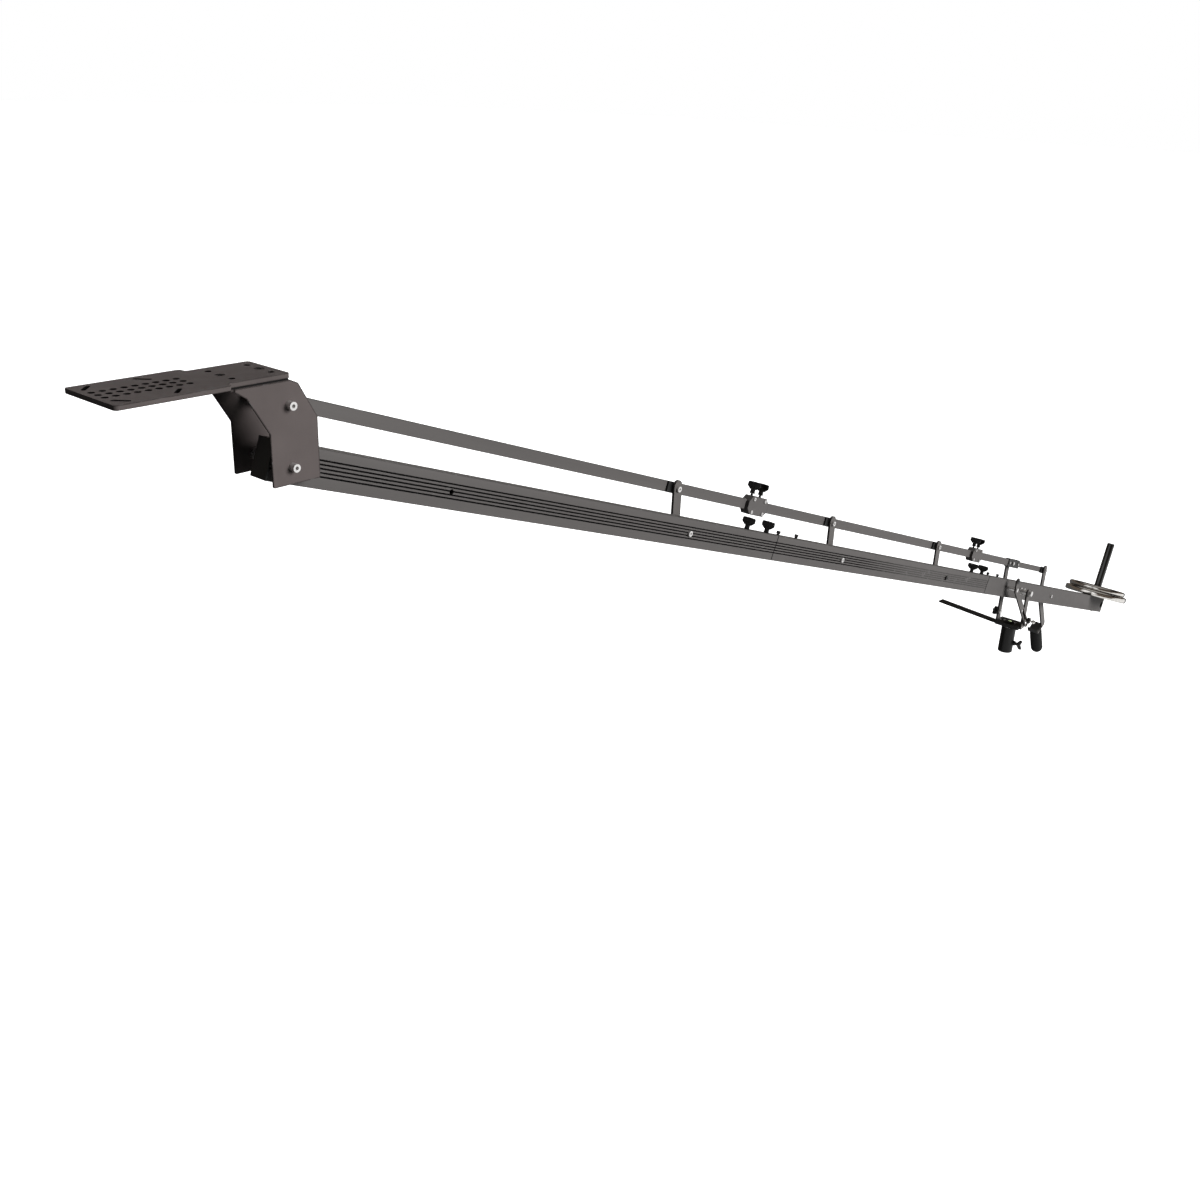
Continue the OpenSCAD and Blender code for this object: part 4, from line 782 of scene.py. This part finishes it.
# Inside the glass's radius the level is green, outside it the housing shows.
def levelShade(tree):
    where = tree.nodes.new("ShaderNodeTexCoord")
    off = tree.nodes.new("ShaderNodeVectorMath")
    off.operation = "SUBTRACT"
    off.inputs[1].default_value = tuple(levelPlace)
    flat = tree.nodes.new("ShaderNodeVectorMath")
    flat.operation = "MULTIPLY"
    flat.inputs[1].default_value = (1, 1, 0)
    length = tree.nodes.new("ShaderNodeVectorMath")
    length.operation = "LENGTH"
    tree.links.new(where.outputs["Object"], off.inputs[0])
    tree.links.new(off.outputs["Vector"], flat.inputs[0])
    tree.links.new(flat.outputs["Vector"], length.inputs[0])
    return math2(tree, "LESS_THAN", length.outputs["Value"], level["window"])


# Green liquid, faintly cloudy, in a black housing.
def levelCoat(name, size):
    made, tree, shader = newMaterial(name)
    green = finishes["vialGreen"]
    cloudy = ramp(tree, linkedNoise(tree, size["clouds"]), green, scaled(green, size["cloudPale"]))
    tree.links.new(mixed(tree, levelShade(tree), size["black"], cloudy), shader.inputs["Base Color"])
    gloss = spread(tree, linkedNoise(tree, size["grain"]), *size["rough"])
    tree.links.new(gloss, shader.inputs["Roughness"])
    return made


dress(levelHousing, levelCoat("levelFinish", level), "pan_base", "vial", "bubble_level")
print("grip and level made")


# Camera, stage and light

viewpoint = {
    "place": (4.28348, 1.56658, 1.94267),
    "turn": (67.13515, -2.28857, 130.61948),
    "focal": 37.64378, "sensor": 36,
    "clip": (0.05, 100),
}
cameraData = bpy.data.cameras.new("viewCamera")
camera = bpy.data.objects.new("viewCamera", cameraData)
bpy.context.scene.collection.objects.link(camera)
camera.location = viewpoint["place"]
camera.rotation_euler = [math.radians(angle) for angle in viewpoint["turn"]]
cameraData.lens = viewpoint["focal"]
cameraData.sensor_fit = "HORIZONTAL"
cameraData.sensor_width = viewpoint["sensor"]
cameraData.clip_start, cameraData.clip_end = viewpoint["clip"]
bpy.context.scene.camera = camera

stage = {
    "floorDrop": 1.25, "floorSize": 160.0, "floorShade": 0.9, "bounceShade": 0.1, "floorGlow": 0.85,
    "floorRough": 0.9, "skyLight": 0.05,
}
mirror = {
    "dark": (0.012, 0.011, 0.01), "soft": 0.05,
    "ceiling": (0.42, 0.4, 0.38), "ceilingStart": (0.62, 0.92),
    "room": (0.13, 0.105, 0.085), "roomBottom": -0.1, "roomTop": 0.35,
    "windowGlow": 1.1, "windowBottom": 0.12, "windowTop": 0.42, "windowFacing": -8, "windowEdge": (0.8, 0.9),
    "floorGlow": 0.95, "floorStart": (-2.5, 0.2), "floorEnd": (9.0, 5.0), "floorNear": 3.0,
}


def lightPath(tree, output):
    return tree.nodes.new("ShaderNodeLightPath").outputs[output]


# What reflections find: a grey ceiling, dark walls, a dim warm room round the horizon, a white window ahead.
def mirroredRoom(tree):
    way = tree.nodes.new("ShaderNodeTexCoord")
    parts = tree.nodes.new("ShaderNodeSeparateXYZ")
    tree.links.new(way.outputs["Generated"], parts.inputs[0])
    soft = mirror["soft"]

    def between(bottom, top):
        above = stepped(tree, parts.outputs["Z"], bottom - soft, bottom + soft)
        return math2(tree, "MULTIPLY", above, stepped(tree, parts.outputs["Z"], top + soft, top - soft))

    turn = math.radians(mirror["windowFacing"])
    facing = math2(tree, "ADD", math2(tree, "MULTIPLY", parts.outputs["X"], math.cos(turn)),
                   math2(tree, "MULTIPLY", parts.outputs["Y"], math.sin(turn)))
    window = math2(tree, "MULTIPLY", between(mirror["windowBottom"], mirror["windowTop"]),
                   stepped(tree, facing, *mirror["windowEdge"]))
    high = stepped(tree, parts.outputs["Z"], *mirror["ceilingStart"])
    above = mixed(tree, high, mirror["dark"], mirror["ceiling"])
    room = mixed(tree, between(mirror["roomBottom"], mirror["roomTop"]), above, mirror["room"])
    return mixed(tree, window, room, (mirror["windowGlow"],) * 3)


# Plain white to the camera, the mirrored room in reflections, a low even light to everything else.
def worldLight():
    world = bpy.data.worlds.new("studio")
    world.use_nodes = True
    bpy.context.scene.world = world
    tree = world.node_tree
    seen, mirrored = lightPath(tree, "Is Camera Ray"), lightPath(tree, "Is Glossy Ray")
    dim = (stage["skyLight"],) * 3
    colour = mixed(tree, mirrored, dim, mirroredRoom(tree))
    tree.links.new(mixed(tree, seen, colour, (1.0, 1.0, 1.0)), tree.nodes["Background"].inputs["Color"])


# A pale floor: it meets the white backdrop for the camera, and glows in reflections in front of the object.
def paleFloor():
    half, drop = stage["floorSize"] / 2, stage["floorDrop"]
    corners = np.array([[[-half, -half, -drop], [half, -half, -drop]],
                        [[-half, half, -drop], [half, half, -drop]]])
    floor = gridPiece("floor", corners, closeV=False)
    made, tree, shader = newMaterial("paleFloor")
    seen = lightPath(tree, "Is Camera Ray")
    shade, bounce = (stage["floorShade"],) * 3, (stage["bounceShade"],) * 3
    tree.links.new(mixed(tree, seen, bounce, shade), shader.inputs["Base Color"])
    near = alongAxis(tree, np.array([1.0, mirror["floorNear"], 0]), np.zeros(3))
    ahead = alongAxis(tree, np.array([1.0, 0, 0]), np.zeros(3))
    lit = math2(tree, "MULTIPLY", stepped(tree, near, *mirror["floorStart"]),
                stepped(tree, ahead, *mirror["floorEnd"]))
    mirrored = mixed(tree, lit, mirror["dark"], (mirror["floorGlow"],) * 3)
    tree.links.new(mixed(tree, seen, mirrored, (stage["floorGlow"],) * 3), shader.inputs["Emission Color"])
    shown = math2(tree, "MAXIMUM", seen, lightPath(tree, "Is Glossy Ray"))
    tree.links.new(shown, shader.inputs["Emission Strength"])
    shader.inputs["Roughness"].default_value = stage["floorRough"]
    shader.inputs["Specular IOR Level"].default_value = 0.0
    floor.data.materials.append(made)


worldLight()
paleFloor()


suns = {
    "keySun": {"from": (-0.3, 0.8, 0.33), "power": 5.6, "angle": 34},
    "farFill": {"from": (-0.4, -0.8, 0.2), "power": 2.6, "angle": 40},
}
for name, sun in suns.items():
    data = bpy.data.lights.new(name, "SUN")
    data.energy = sun["power"]
    data.angle = math.radians(sun["angle"])
    source = bpy.data.objects.new(name, data)
    source.location = sun["from"]
    source.rotation_euler = Vector(sun["from"]).to_track_quat("Z", "Y").to_euler()     # shines at the origin
    source.visible_glossy = False
    bpy.context.scene.collection.objects.link(source)
bpy.context.scene.view_settings.view_transform = "Standard"
print("camera, stage and light set")
